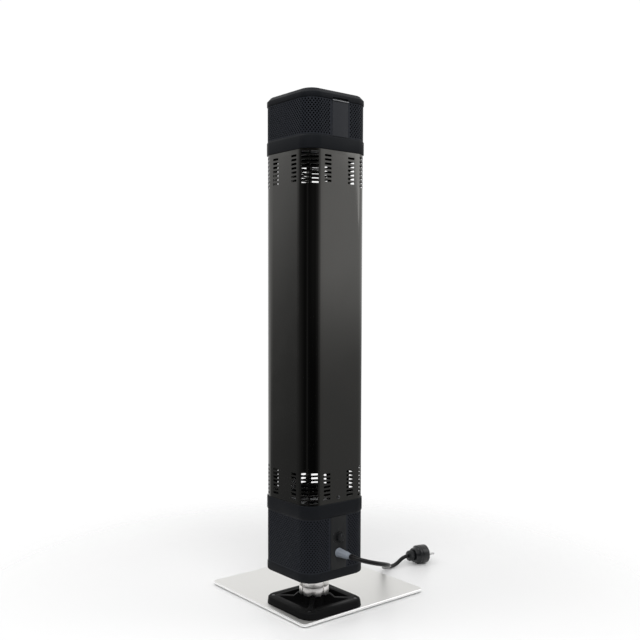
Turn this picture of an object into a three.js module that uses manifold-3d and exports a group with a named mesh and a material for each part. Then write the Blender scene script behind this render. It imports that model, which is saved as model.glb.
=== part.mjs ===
// Infrared patio heater tower, in millimetres, +Z up.
// A slotted sheet-steel column stands between two perforated housings. A steel spigot carries it
// over a ribbed pedestal at one corner of a square base plate, and two lamps heat through the two
// faces that look over the plate. The switch and the mains lead are on the face behind.

import * as THREE from 'three';
import { mergeVertices } from 'three/addons/utils/BufferGeometryUtils.js';
import Module from 'manifold-3d';

const wasm = await Module();
wasm.setup();

// ---- Clearances --------------------------------------------------------------------------------
const seat = 0.2; // between a piece and what it rests on
const fit = 0.35; // round a piece that is pushed into another
const ringGap = 0.4; // the seam between the two coupling rings

// ---- Base --------------------------------------------------------------------------------------
const padHeight = 2;
const padRadius = 14;
const padInset = 26;
const plateSide = 320;
const plateThickness = 6;
const plateCorner = 10;
const plateEdge = 1.6;
const plateMarginX = 12; // plate that shows outside the pedestal, beside the control face
const plateMarginY = 2.5; // and in front of the control face
const pedestalSide = 148;
const pedestalHeight = 14;
const pedestalCorner = 26;
const pedestalRim = 20;
const pedestalCrown = 4; // radius of the rim's outer edge
const pedestalFloor = 3;
const pedestalDraft = 1.2;
const ribWidth = 9; // beside the hub; a rib widens towards its corner
const ribFootWidth = 17;
const hubRadius = 22.5;
const hubLobeRadius = 9.5;
const hubLobeReach = 15.5;
const hubHeight = 22;
const screwReach = 82; // distance of the pedestal screws from the axis, along the ribs
const baseScrewRadius = 2.4;
const baseScrewHead = 4.2;
const baseScrewHeadHeight = 2.2;

// ---- Spigot and coupling -----------------------------------------------------------------------
const spigotRadius = 20;
const spigotWall = 3;
const spigotNutWidth = 52; // across flats
const spigotNutHeight = 9;
const couplingRadius = 29.4;
const lowerRingHeight = 17.7;
const upperRingHeight = 29.7;
const ringChamfer = 0.8;
const grooveWidth = 3;
const grooveDepth = 3.5;
const grooveCount = 4;
const scallopCount = 8; // round the lower ring's lower edge
const scallopRadius = 6;
const scallopDepth = 3.8;

// ---- Tower -------------------------------------------------------------------------------------
const towerRadius = 29.25; // corner radius of the column
const columnSide = 147.5;
const columnWall = 1.2;
const columnHeight = 665; // that shows between the collars
const columnSeat = 17; // depth of the column in each collar
const collarSide = 151.5;
const grilleSide = 148.3;
const grilleWall = 1.2;
const capSide = 150.6;
const capHeight = 18.4;
const capFloor = 4;
const capEdge = 3;
const tongueHeight = 6; // the part of a collar or cap that stands inside a grille
const tongueWall = 3.2;
const lowerGrilleHeight = 102.8;
const lowerCollarHeight = 27;
const upperCollarHeight = 26;
const collarSlope = 3.2; // height of a collar's sloping rim beside its grille
const upperGrilleHeight = 66.6;
const lidSide = 151;
const lidHeight = 18.8;
const lidBand = 9.8; // upright part of the rim, below the slope
const lidSlope = 7.4; // height of the slope
const lidTop = 3;
const ledgeWidth = 9; // inner ledge of a collar, which the column and the bulkhead rest on
const bulkheadSheet = 3;
const bulkheadWidth = 137;
const postRadius = 5;
const postReach = 50;
const bossRadius = 30;
const bossHeight = 24;

// ---- Slots in the column -----------------------------------------------------------------------
const slotWidth = 16.2;
const slotHeight = 4.2;
const slotPitch = 7.7;
const slotRows = 7; // in each column of a face; a corner has one row more
const slotSpread = 28.4; // from a face's centre line to each of its two columns
const cornerSpread = 18.2; // degrees, from a corner's middle to each of its two columns
const slotCentre = 34; // from a collar to the middle row

// ---- Heating windows ---------------------------------------------------------------------------
const windowWidth = 82;
const windowHeight = 508;
const windowCorner = 6;
const frameWidth = 5; // of the guard's frame, outside the window
const frameSheet = 2;
const wireRadius = 0.95;
const wirePitch = 22;
const reflectorSheet = 1;
const reflectorHalf = 38; // half the mouth
const reflectorDepth = 38;
const reflectorFlange = 5;
const lampRadius = 5.5;
const lampDepth = 19; // of the lamp's axis behind the reflector's mouth
const lampCapRadius = 8;
const lampCapHeight = 14;
const lampNeckRadius = 3.5;
const lampNeckHeight = 6;
const holderSheet = 1.5;

// ---- Control face ------------------------------------------------------------------------------
const stripWidth = 38;
const stripSheet = 1.9;
const stripProud = 0.75; // outside the grille
const ledgeLip = 1.4; // lip along the top of the upper strip
const ledgeLipHeight = 2.2;
const recessWidth = 30;
const recessHeight = 3.5;
const recessDepth = 3;
const knobLevel = 160;
const knobRadius = 8;
const knobHeight = 9;
const knobFlutes = 12;
const fluteRadius = 1.5;
const shaftRadius = 3;
const shaftLength = 14;
const switchWidth = 26;
const switchHeight = 24;
const switchDepth = 20;
const glandLevel = 129.5;
const glandLength = 35;
const glandRootRadius = 8.2;
const glandMouthRadius = 5.4;
const glandStemRadius = 5.7;
const nutRadius = 10;
const nutHeight = 4.5;
const columnScrewHead = 3.4;
const columnScrewRadius = 1.9;
const columnScrewLevel = 10; // above the lower collar
const tabWidth = 16;
const tabHeight = 22;
const tabSheet = 1.5;

// ---- Inner electrical pieces -------------------------------------------------------------------
const blockWidth = 44;
const blockDepth = 16;
const blockHeight = 15;
const blockPoles = 3;
const tiltArm = 30; // length of the tilt pendulum
const tiltWeightRadius = 8;
const tiltWidth = 12;
const tiltPinRadius = 2;
const tiltPinFit = 0.3;
const tiltCheek = 2;

// ---- Mains lead and plug -----------------------------------------------------------------------
const cordRadius = 4.35;
const cordSides = 8;
const cordSteps = 48;
const plugRadius = 21;
const plugLength = 24;
const plugDome = 10;
const plugGripRadius = 12;
const plugGripLength = 14;
const plugX = 337; // end of the cord's route, on the floor beside the plate
const plugY = 71.9;
const plugHeading = -12; // degrees from +X
const pinRadius = 2.4;
const pinLength = 19;
const pinSpacing = 19;

// ---- Facets ------------------------------------------------------------------------------------
const cornerSteps = 4;
const roundSteps = 24;
const smallSteps = 12;

// ---- Levels, worked out from the sizes above ---------------------------------------------------
const plateBottom = padHeight + seat;
const plateTop = plateBottom + plateThickness;
const pedestalBottom = plateTop + seat;
const pedestalTop = pedestalBottom + pedestalHeight;
const pocketFloor = pedestalBottom + pedestalFloor;
const hubTop = pedestalBottom + hubHeight;
const lowerRingBottom = hubTop + seat;
const lowerRingTop = lowerRingBottom + lowerRingHeight;
const upperRingBottom = lowerRingTop + ringGap;
const upperRingTop = upperRingBottom + upperRingHeight;
const capBottom = upperRingTop + seat;
const capTop = capBottom + capHeight;
const lowerCollarBottom = capTop + lowerGrilleHeight;
const lowerCollarTop = lowerCollarBottom + lowerCollarHeight;
const upperCollarBottom = lowerCollarTop + columnHeight;
const upperCollarTop = upperCollarBottom + upperCollarHeight;
const lidBottom = upperCollarTop + upperGrilleHeight;
const lidLevel = lidBottom + lidHeight;
const columnBottom = lowerCollarTop - columnSeat;
const columnTop = upperCollarBottom + columnSeat;
const lowerBulkhead = columnBottom - seat - bulkheadSheet - seat; // underside of each bulkhead
const upperBulkhead = columnTop + 2 * seat;
const windowBottom = (lowerCollarTop + upperCollarBottom - windowHeight) / 2;
const windowTop = windowBottom + windowHeight;
const faceOut = columnSide / 2;
const faceIn = faceOut - columnWall;
const grilleOut = grilleSide / 2;
const stripFace = grilleOut + stripProud;
const tongueSide = grilleSide - 2 * grilleWall - 2 * fit;
const boreSide = tongueSide - 2 * tongueWall;
const spigotNutBottom = capBottom + bossHeight + seat;
const spigotTop = spigotNutBottom + spigotNutHeight + 3;

// ---- Solids ------------------------------------------------------------------------------------

// A closed manifold from a three.js geometry, with coincident vertices merged and faces outwards.
function solid(geometry) {
  const bare = geometry.clone();
  bare.deleteAttribute('normal');
  bare.deleteAttribute('uv');
  const merged = mergeVertices(bare, 1e-4);
  const points = merged.attributes.position.array;
  const corner = (i) => new THREE.Vector3().fromArray(points, 3 * i);
  const triangles = [];
  let volume = 0;
  for (let i = 0; i < merged.index.count; i += 3) {
    const [a, b, c] = [0, 1, 2].map((k) => merged.index.getX(i + k));
    if (a === b || b === c || c === a) continue;
    triangles.push([a, b, c]);
    volume += corner(a).dot(corner(b).cross(corner(c)));
  }
  const order = volume < 0 ? ([a, b, c]) => [a, c, b] : (t) => t;
  const mesh = new wasm.Mesh({
    numProp: 3,
    vertProperties: new Float32Array(points),
    triVerts: new Uint32Array(triangles.flatMap(order)),
  });
  return new wasm.Manifold(mesh);
}

function geometryOf(body) {
  const mesh = body.getMesh();
  const geometry = new THREE.BufferGeometry();
  geometry.setAttribute('position', new THREE.BufferAttribute(mesh.vertProperties, 3));
  geometry.setIndex(new THREE.BufferAttribute(mesh.triVerts, 1));
  return geometry;
}

const join = (bodies) => bodies.reduce((all, body) => all.add(body));
const cut = (body, tools) => tools.reduce((left, tool) => left.subtract(tool), body);

// Points of a rounded rectangle round the origin, anticlockwise.
function outline(width, depth, radius, steps = cornerSteps) {
  const points = [];
  for (let quarter = 0; quarter < 4; quarter += 1) {
    const signX = quarter === 0 || quarter === 3 ? 1 : -1;
    const signY = quarter < 2 ? 1 : -1;
    for (let step = 0; step <= steps; step += 1) {
      const angle = ((quarter + step / steps) * Math.PI) / 2;
      points.push([
        signX * (width / 2 - radius) + radius * Math.cos(angle),
        signY * (depth / 2 - radius) + radius * Math.sin(angle),
      ]);
    }
  }
  return points;
}

// A closed body through convex outlines of equal point count, each given as { z, points }.
function loft(sections) {
  const count = sections[0].points.length;
  const positions = [];
  const index = [];
  for (const { z, points } of sections) {
    for (const [x, y] of points) positions.push(x, y, z);
  }
  for (let s = 0; s + 1 < sections.length; s += 1) {
    for (let i = 0; i < count; i += 1) {
      const a = s * count + i;
      const b = s * count + ((i + 1) % count);
      index.push(a, b, b + count, a, b + count, a + count);
    }
  }
  const last = (sections.length - 1) * count;
  for (let i = 1; i + 1 < count; i += 1) {
    index.push(0, i + 1, i, last, last + i, last + i + 1);
  }
  const geometry = new THREE.BufferGeometry();
  geometry.setAttribute('position', new THREE.BufferAttribute(new Float32Array(positions), 3));
  geometry.setIndex(index);
  return solid(geometry);
}

// Rounded squares stacked up: each row is [z, side, corner radius].
function tower(rows) {
  return loft(rows.map(([z, side, radius]) => ({ z, points: outline(side, side, radius) })));
}

// The tower's outline keeps its wall even round the corners: the radius follows the side.
const followed = (side) => towerRadius + (side - columnSide) / 2;
const towerRow = (z, side) => [z, side, followed(side)];
const towerPrism = (side, z0, z1) => tower([towerRow(z0, side), towerRow(z1, side)]);

// A rounded slab whose long edges are rounded by `edge` at the top, the bottom or both.
function slab(side, corner, z0, z1, bottomEdge, topEdge, steps = 2) {
  const rows = [];
  const row = (z, inset) => rows.push([z, side - 2 * inset, Math.max(corner - inset, 0.5)]);
  for (let k = 0; bottomEdge > 0 && k < steps; k += 1) {
    const angle = (k / steps) * (Math.PI / 2);
    row(z0 + bottomEdge * (1 - Math.cos(angle)), bottomEdge * (1 - Math.sin(angle)));
  }
  row(z0 + bottomEdge, 0);
  row(z1 - topEdge, 0);
  for (let k = 1; topEdge > 0 && k <= steps; k += 1) {
    const angle = (k / steps) * (Math.PI / 2);
    row(z1 - topEdge * (1 - Math.sin(angle)), topEdge * (1 - Math.cos(angle)));
  }
  return tower(rows);
}

function box(x0, x1, y0, y1, z0, z1) {
  const geometry = new THREE.BoxGeometry(x1 - x0, y1 - y0, z1 - z0);
  return solid(geometry.translate((x0 + x1) / 2, (y0 + y1) / 2, (z0 + z1) / 2));
}

function cylinder(radius, z0, z1, { x = 0, y = 0, steps = roundSteps, top = radius } = {}) {
  const geometry = new THREE.CylinderGeometry(top, radius, z1 - z0, steps);
  return solid(geometry.rotateX(Math.PI / 2).translate(x, y, (z0 + z1) / 2));
}

// A turned body round the Z axis: rows of [radius, z] that start and end on the axis or close.
function turned(rows, steps = roundSteps) {
  const profile = rows.map(([radius, z]) => new THREE.Vector2(radius, z));
  return solid(new THREE.LatheGeometry(profile, steps).rotateX(Math.PI / 2));
}

function extruded(points, z0, z1) {
  const shape = new THREE.Shape(points.map(([x, y]) => new THREE.Vector2(x, y)));
  const geometry = new THREE.ExtrudeGeometry(shape, { depth: z1 - z0, bevelEnabled: false });
  return solid(geometry.translate(0, 0, z0));
}

// Copies of a body turned about the Z axis, in degrees.
const spun = (body, angle) => body.rotate([0, 0, angle]);
const spunCopies = (body, count, first = 0) =>
  Array.from({ length: count }, (_, i) => spun(body, first + (360 / count) * i));

// ---- Materials ---------------------------------------------------------------------------------
const finish = (color, roughness, metalness) => ({ color, roughness, metalness, flatShading: true });
const polishedSteel = finish(0xd8dadc, 0.16, 1.0);
const brushedSteel = finish(0xb9b9b6, 0.35, 1.0);
const blackPlastic = finish(0x1d1e20, 0.6, 0.0);
const blackMesh = finish(0x1a1b1e, 0.55, 0.2);
const columnSteel = finish(0x35332f, 0.28, 0.85);
const slatePlastic = finish(0x3b4044, 0.5, 0.0);
const glandPlastic = finish(0x8b9298, 0.5, 0.0);
const rubber = finish(0x17181a, 0.75, 0.0);
const mirrorAluminium = finish(0xe4e2dc, 0.12, 1.0);
const quartz = finish(0xc99a55, 0.1, 0.0);
const ceramic = finish(0xe6e2d6, 0.7, 0.0);
const zincSteel = finish(0x9a9c9e, 0.4, 0.9);
const pinMetal = finish(0xb4b6b8, 0.3, 1.0);

// ---- Scene graph -------------------------------------------------------------------------------
// The group's origin is the middle of the footprint; the tower's axis stands off it over a corner.
const plateX = plateSide / 2 - pedestalSide / 2 - plateMarginX; // middle of the plate
const plateY = plateSide / 2 - pedestalSide / 2 - plateMarginY;
const knobTip = -(stripFace + seat + knobHeight);
const footprintY = (Math.min(knobTip, plateY - plateSide / 2) + plateY + plateSide / 2) / 2;

const heater = new THREE.Group();
const assembly = new THREE.Group();
assembly.position.set(-plateX, -footprintY, 0);
heater.add(assembly);

function add(name, body, look, place = {}) {
  const mesh = new THREE.Mesh(geometryOf(body), new THREE.MeshStandardMaterial(look));
  mesh.name = name;
  mesh.position.set(...(place.position ?? [0, 0, 0]));
  mesh.rotation.set(...(place.rotation ?? [0, 0, 0]));
  assembly.add(mesh);
}

// Pieces on the control face are built along +Z and then point out of the face, along -Y.
const outOfFace = (y, z) => ({ position: [0, y, z], rotation: [Math.PI / 2, 0, 0] });

// ---- Base plate, pads and pedestal -------------------------------------------------------------
const corners = [[-1, -1], [1, -1], [1, 1], [-1, 1]];
const screwOffset = screwReach / Math.SQRT2;
const baseScrewHole = baseScrewRadius + seat;

function addBase() {
  const plate = slab(plateSide, plateCorner, plateBottom, plateTop, plateEdge, plateEdge)
    .translate([plateX, plateY, 0]);
  const holes = corners.map(([sx, sy]) => cylinder(baseScrewHole, plateBottom - 1, plateTop + 1, {
    x: sx * screwOffset, y: sy * screwOffset, steps: smallSteps,
  }));
  add('base_plate', cut(plate, holes), polishedSteel);

  const padOffset = plateSide / 2 - padInset;
  corners.forEach(([sx, sy], i) => {
    const x = plateX + sx * padOffset;
    const y = plateY + sy * padOffset;
    add(`rubber_pad_${i + 1}`, cylinder(padRadius, 0, padHeight, { x, y, steps: 20 }), rubber);
  });
}

// Rounded square tray with a rim, four diagonal ribs, open pockets and a hub for the spigot.
function addPedestal() {
  const rows = [[pedestalBottom, pedestalSide, pedestalCorner]];
  for (let k = 0; k <= 3; k += 1) {
    const angle = (k / 3) * (Math.PI / 2);
    const inset = pedestalDraft + pedestalCrown * (1 - Math.cos(angle));
    const z = pedestalTop - pedestalCrown * (1 - Math.sin(angle));
    rows.push([z, pedestalSide - 2 * inset, pedestalCorner - inset]);
  }
  const body = tower(rows);
  const pocketSide = pedestalSide - 2 * pedestalRim;
  const pocket = tower([
    [pocketFloor, pocketSide - 4, 8],
    [pedestalTop + 1, pocketSide, 10],
  ]);
  const hub = cylinder(hubRadius, pocketFloor, hubTop);
  const lobe = cylinder(hubLobeRadius, pocketFloor, hubTop, { x: hubLobeReach, steps: 16 });
  const ribProfile = [
    [0, pocketFloor], [screwReach, pocketFloor], [screwReach, pedestalTop],
    [couplingRadius + 12, pedestalTop], [couplingRadius + 2, hubTop], [0, hubTop],
  ];
  const ribPlan = [
    [0, -ribWidth / 2], [screwReach - 22, -ribWidth / 2], [screwReach, -ribFootWidth / 2],
    [screwReach, ribFootWidth / 2], [screwReach - 22, ribWidth / 2], [0, ribWidth / 2],
  ];
  const rib = extruded(ribProfile, -ribFootWidth, ribFootWidth).rotate([90, 0, 0])
    .intersect(extruded(ribPlan, pocketFloor - 1, hubTop + 1));
  const spokes = join([hub, ...spunCopies(lobe, 4), ...spunCopies(rib, 4, 45)]);
  const bore = cylinder(spigotRadius + fit, pocketFloor, hubTop + 1);
  const screwHoles = corners.flatMap(([sx, sy]) => {
    const at = { x: sx * screwOffset, y: sy * screwOffset, steps: smallSteps };
    return [
      cylinder(baseScrewHole, pedestalBottom - 1, pedestalTop + 1, at),
      cylinder(baseScrewHead + fit, pedestalTop - baseScrewHeadHeight - seat, pedestalTop + 1, at),
    ];
  });
  add('pedestal', cut(body.subtract(pocket).add(spokes), [bore, ...screwHoles]), blackPlastic);

  corners.forEach(([sx, sy], i) => {
    const at = { x: sx * screwOffset, y: sy * screwOffset, steps: smallSteps };
    const headBottom = pedestalTop - baseScrewHeadHeight;
    const shank = cylinder(baseScrewRadius, plateBottom + 0.5, headBottom, at);
    const crown = { ...at, top: baseScrewHead - 0.8 };
    const head = cylinder(baseScrewHead, headBottom, pedestalTop - 0.3, crown);
    add(`pedestal_screw_${i + 1}`, shank.add(head), zincSteel);
  });
}

// ---- Spigot and the two-part silver coupling ---------------------------------------------------
function couplingRing(z0, z1) {
  const inner = spigotRadius + fit;
  const ring = turned([
    [inner, z0], [couplingRadius - ringChamfer, z0], [couplingRadius, z0 + ringChamfer],
    [couplingRadius, z1 - ringChamfer], [couplingRadius - ringChamfer, z1], [inner, z1], [inner, z0],
  ]);
  const groove = box(
    couplingRadius - grooveDepth, couplingRadius + 1, -grooveWidth / 2, grooveWidth / 2, z0 - 1, z1 + 1,
  );
  return cut(ring, spunCopies(groove, grooveCount));
}

function addCoupling() {
  const tube = [
    [spigotRadius - spigotWall, pocketFloor + seat], [spigotRadius, pocketFloor + seat],
    [spigotRadius, spigotTop], [spigotRadius - spigotWall, spigotTop],
    [spigotRadius - spigotWall, pocketFloor + seat],
  ];
  add('spigot_tube', turned(tube), brushedSteel);
  const scallop = cylinder(scallopRadius, spigotRadius - 2, couplingRadius + 2, { steps: 12 })
    .rotate([0, 90, 0]).translate([0, 0, lowerRingBottom + scallopDepth - scallopRadius]);
  const lockRing = cut(couplingRing(lowerRingBottom, lowerRingTop), spunCopies(scallop, scallopCount));
  add('lock_ring', lockRing, brushedSteel);
  add('coupling_ring', couplingRing(upperRingBottom, upperRingTop), brushedSteel);

  const across = spigotNutWidth / Math.sqrt(3);
  const nut = cylinder(across, spigotNutBottom, spigotNutBottom + spigotNutHeight, { steps: 6 })
    .subtract(cylinder(spigotRadius + fit, spigotNutBottom - 1, spigotTop));
  add('spigot_nut', nut, zincSteel);
}

// ---- Lower housing: cap, perforated grille, collar and bulkhead --------------------------------
function addBottomCap() {
  const rows = [];
  const edgeSteps = 3;
  for (let k = 0; k < edgeSteps; k += 1) {
    const angle = (k / edgeSteps) * (Math.PI / 2);
    const side = capSide - 2 * capEdge * (1 - Math.sin(angle));
    rows.push(towerRow(capBottom + capEdge * (1 - Math.cos(angle)), side));
  }
  rows.push(towerRow(capBottom + capEdge, capSide));
  rows.push(towerRow(capTop - collarSlope, capSide));
  rows.push(towerRow(capTop, grilleSide));
  const tongue = towerPrism(tongueSide, capTop - 1, capTop + tongueHeight);
  const hollow = towerPrism(boreSide, capBottom + capFloor, capTop + tongueHeight + 1);
  const boss = cylinder(bossRadius, capBottom + capFloor, capBottom + bossHeight);
  const posts = corners.map(([sx, sy]) => cylinder(postRadius, capBottom + 1, lowerBulkhead - seat, {
    x: sx * postReach, y: sy * postReach, steps: smallSteps,
  }));
  const bore = cylinder(spigotRadius + fit, capBottom - 1, capBottom + bossHeight + 1);
  const shell = join([tower(rows), tongue]).subtract(hollow);
  add('bottom_cap', join([shell, boss, ...posts]).subtract(bore), blackPlastic);
}

// A sleeve of perforated sheet, open along the control strip.
function grille(z0, z1) {
  const outer = towerPrism(grilleSide, z0, z1);
  const inner = towerPrism(grilleSide - 2 * grilleWall, z0 - 1, z1 + 1);
  const gap = stripWidth / 2 + fit;
  return cut(outer, [inner, box(-gap, gap, -grilleOut - 1, -grilleOut + 4, z0 - 1, z1 + 1)]);
}

// A collar holds one end of the column in a pocket, with the bulkhead on its inner ledge and a
// tongue inside the grille. It is built for the lower end; the upper one is its mirror image.
function collar(height) {
  const outside = tower([
    towerRow(0, grilleSide), towerRow(collarSlope, collarSide),
    towerRow(height - 1, collarSide), towerRow(height, collarSide - 2),
  ]);
  const tongue = towerPrism(tongueSide, -tongueHeight, 1);
  const pocket = towerPrism(columnSide + 2 * fit, height - columnSeat - seat, height + 1);
  const bulkheadPocket = towerPrism(
    bulkheadWidth + 2 * fit, height - columnSeat - 3 * seat - bulkheadSheet, height + 1,
  );
  const bore = towerPrism(boreSide - ledgeWidth, -tongueHeight - 1, height + 1);
  return cut(join([outside, tongue]), [pocket, bulkheadPocket, bore]);
}

// Sheet bulkhead with a wiring hole in the middle; the lower one has tabs that the column screws to.
function bulkhead(z, wiringRadius) {
  return towerPrism(bulkheadWidth, z, z + bulkheadSheet)
    .subtract(cylinder(wiringRadius, z - 1, z + bulkheadSheet + 1, { steps: 20 }));
}

const screwTurns = [0, 180];
const screwLevel = lowerCollarTop + columnScrewLevel;

function addLowerHousing() {
  addBottomCap();
  const z0 = capTop + seat;
  const z1 = lowerCollarBottom - seat;
  add('lower_grille', grille(z0, z1), blackMesh);
  add('lower_collar', collar(lowerCollarHeight).translate([0, 0, lowerCollarBottom]), blackPlastic);

  const tabOut = faceIn - fit;
  const tabTop = lowerBulkhead + bulkheadSheet + tabHeight + columnSeat;
  const foot = bulkheadWidth / 2 - 4;
  const step = lowerBulkhead + bulkheadSheet + 3;
  const half = tabWidth / 2;
  const tab = join([
    box(-half, half, -tabOut, -tabOut + tabSheet, step, tabTop),
    box(-half, half, -tabOut, -foot, step, step + tabSheet),
    box(-half, half, -foot - tabSheet, -foot, lowerBulkhead + 1, step + tabSheet),
  ]);
  const hole = cylinder(columnScrewRadius + seat, 0, 12, { steps: smallSteps })
    .rotate([90, 0, 0]).translate([0, -tabOut + 6, screwLevel]);
  const tabs = screwTurns.map((turn) => spun(tab.subtract(hole), turn));
  add('lower_bulkhead', join([bulkhead(lowerBulkhead, 22), ...tabs]), zincSteel);
}

// ---- Column ------------------------------------------------------------------------------------

// All slots of one end: two columns on each face and two on each rounded corner.
function slotGroup(middle) {
  const depth = 8;
  const pieces = [];
  const place = (geometry, turn) => {
    pieces.push(solid(geometry.rotateZ(THREE.MathUtils.degToRad(turn))));
  };
  for (let side = 0; side < 4; side += 1) {
    for (let row = 0; row < slotRows; row += 1) {
      const z = middle + (row - (slotRows - 1) / 2) * slotPitch;
      for (const sign of [-1, 1]) {
        const slot = new THREE.BoxGeometry(depth, slotWidth, slotHeight);
        place(slot.translate(faceOut, sign * slotSpread, z), 90 * side);
      }
    }
    for (let row = 0; row <= slotRows; row += 1) {
      const z = middle + (row - slotRows / 2) * slotPitch;
      for (const sign of [-1, 1]) {
        const slot = new THREE.BoxGeometry(depth, slotWidth, slotHeight);
        slot.translate(towerRadius, 0, 0).rotateZ(THREE.MathUtils.degToRad(45 + sign * cornerSpread));
        const centre = faceOut - towerRadius;
        place(slot.translate(centre, centre, z), 90 * side);
      }
    }
  }
  return wasm.Manifold.union(pieces);
}

function windowCutter(width, z0, z1, corner) {
  const height = z1 - z0;
  const points = outline(width, height, corner, 3);
  return extruded(points, 0, 12)
    .rotate([90, 0, 90])
    .translate([faceOut - 8, 0, (z0 + z1) / 2]);
}

function addColumn() {
  const outer = towerPrism(columnSide, columnBottom, columnTop);
  const inner = towerPrism(columnSide - 2 * columnWall, columnBottom - 1, columnTop + 1);
  const opening = windowCutter(windowWidth, windowBottom, windowTop, windowCorner);
  const screwHole = cylinder(columnScrewRadius + seat, 0, 12, { steps: smallSteps })
    .rotate([90, 0, 0]).translate([0, -faceOut + 6, screwLevel]);
  const tools = [
    inner, opening, spun(opening, 90),
    ...screwTurns.map((turn) => spun(screwHole, turn)),
    slotGroup(lowerCollarTop + slotCentre), slotGroup(upperCollarBottom - slotCentre),
  ];
  add('column_shell', cut(outer, tools), columnSteel);

  screwTurns.forEach((turn, i) => {
    const head = turned([
      [0, 0], [columnScrewHead, 0], [columnScrewHead, 0.7], [columnScrewHead * 0.6, 1.6], [0, 1.8],
    ], smallSteps);
    const shank = cylinder(columnScrewRadius, -8, 0.2, { steps: smallSteps });
    const screw = head.add(shank).rotate([90, 0, 0]).translate([0, -faceOut - seat, screwLevel]);
    add(`column_screw_${i + 1}`, spun(screw, turn), zincSteel);
  });
}

// ---- Heating units, one behind each window -----------------------------------------------------
// Left and right are those of a person who stands before the heater, on the far side of the plate.
const frameOut = faceIn - fit;
const mouth = frameOut - frameSheet - seat; // front of the reflector's flanges

// The reflector's curve, a parabola that opens along +X; t runs from -1 to 1 across the mouth.
function reflectorCurve(offset) {
  const count = 10;
  return Array.from({ length: count + 1 }, (_, i) => {
    const t = (2 * i) / count - 1;
    const slope = new THREE.Vector2(2 * reflectorDepth * t, reflectorHalf).normalize();
    const x = mouth - reflectorDepth * (1 - t * t);
    const y = reflectorHalf * t;
    return [x - offset * slope.y, y + offset * slope.x];
  });
}

function reflectorProfile() {
  const tip = reflectorHalf + reflectorFlange;
  const back = reflectorCurve(reflectorSheet).slice(1, -1);
  const heel = reflectorHalf + 1.2 * reflectorSheet;
  return [
    [mouth, -tip], ...reflectorCurve(0), [mouth, tip],
    [mouth - reflectorSheet, tip], [mouth - reflectorSheet, heel],
    ...back.reverse(),
    [mouth - reflectorSheet, -heel], [mouth - reflectorSheet, -tip],
  ];
}

// Sheet frame behind the window with level wires across it and one upright wire.
function guard() {
  const width = windowWidth + 2 * frameWidth;
  const height = windowHeight + 2 * frameWidth;
  const middle = (windowBottom + windowTop) / 2;
  const ring = extruded(outline(width, height, windowCorner, 3), 0, frameSheet)
    .subtract(extruded(outline(windowWidth - 2, windowHeight - 2, windowCorner, 3), -1, frameSheet + 1))
    .rotate([90, 0, 90])
    .translate([frameOut - frameSheet, 0, middle]);
  const wireAt = frameOut - frameSheet / 2;
  const reach = windowWidth / 2 + frameWidth / 2;
  const count = Math.floor(windowHeight / wirePitch) - 1;
  const level = cylinder(wireRadius, -reach, reach, { steps: 4 }).rotate([90, 0, 0]);
  const wires = Array.from({ length: count }, (_, i) =>
    level.translate([wireAt, 0, middle + (i - (count - 1) / 2) * wirePitch]));
  const upright = cylinder(wireRadius, windowBottom - 2, windowTop + 2, { x: wireAt, steps: 4 });
  return join([ring, wasm.Manifold.union(wires), upright]);
}

function addHeatingUnit(name, turn) {
  const addTurned = (piece, body, look) => add(`${piece}_${name}`, spun(body, turn), look);
  const reflectorBottom = windowBottom - 2;
  const reflectorTop = windowTop + 2;
  addTurned('guard', guard(), blackMesh);
  addTurned('reflector', extruded(reflectorProfile(), reflectorBottom, reflectorTop), mirrorAluminium);

  const lampX = mouth - lampDepth;
  const endOutline = reflectorCurve(reflectorSheet / 2);
  const holderHole = { x: lampX, steps: smallSteps };
  const ends = [['bottom', reflectorBottom - seat - holderSheet, 1], ['top', reflectorTop + seat, -1]];
  for (const [end, z, up] of ends) {
    const holder = extruded(endOutline, z, z + holderSheet)
      .subtract(cylinder(lampNeckRadius + seat, z - 1, z + holderSheet + 1, holderHole));
    addTurned(`lamp_holder_${end}`, holder, zincSteel);
    const inside = up > 0 ? z + holderSheet + seat : z - seat;
    const cap = [
      [0, -lampNeckHeight], [lampNeckRadius, -lampNeckHeight], [lampNeckRadius, 0], [lampCapRadius, 0],
      [lampCapRadius, lampCapHeight - 3], [lampCapRadius - 1.5, lampCapHeight], [0, lampCapHeight],
    ].map(([radius, level]) => [radius, inside + up * level]);
    addTurned(`lamp_cap_${end}`, turned(cap, 16).translate([lampX, 0, 0]), ceramic);
  }
  const lampBottom = reflectorBottom + seat + lampCapHeight;
  const lampTop = reflectorTop - seat - lampCapHeight;
  addTurned('lamp', cylinder(lampRadius, lampBottom, lampTop, { x: lampX, steps: 16 }), quartz);
}

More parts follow.
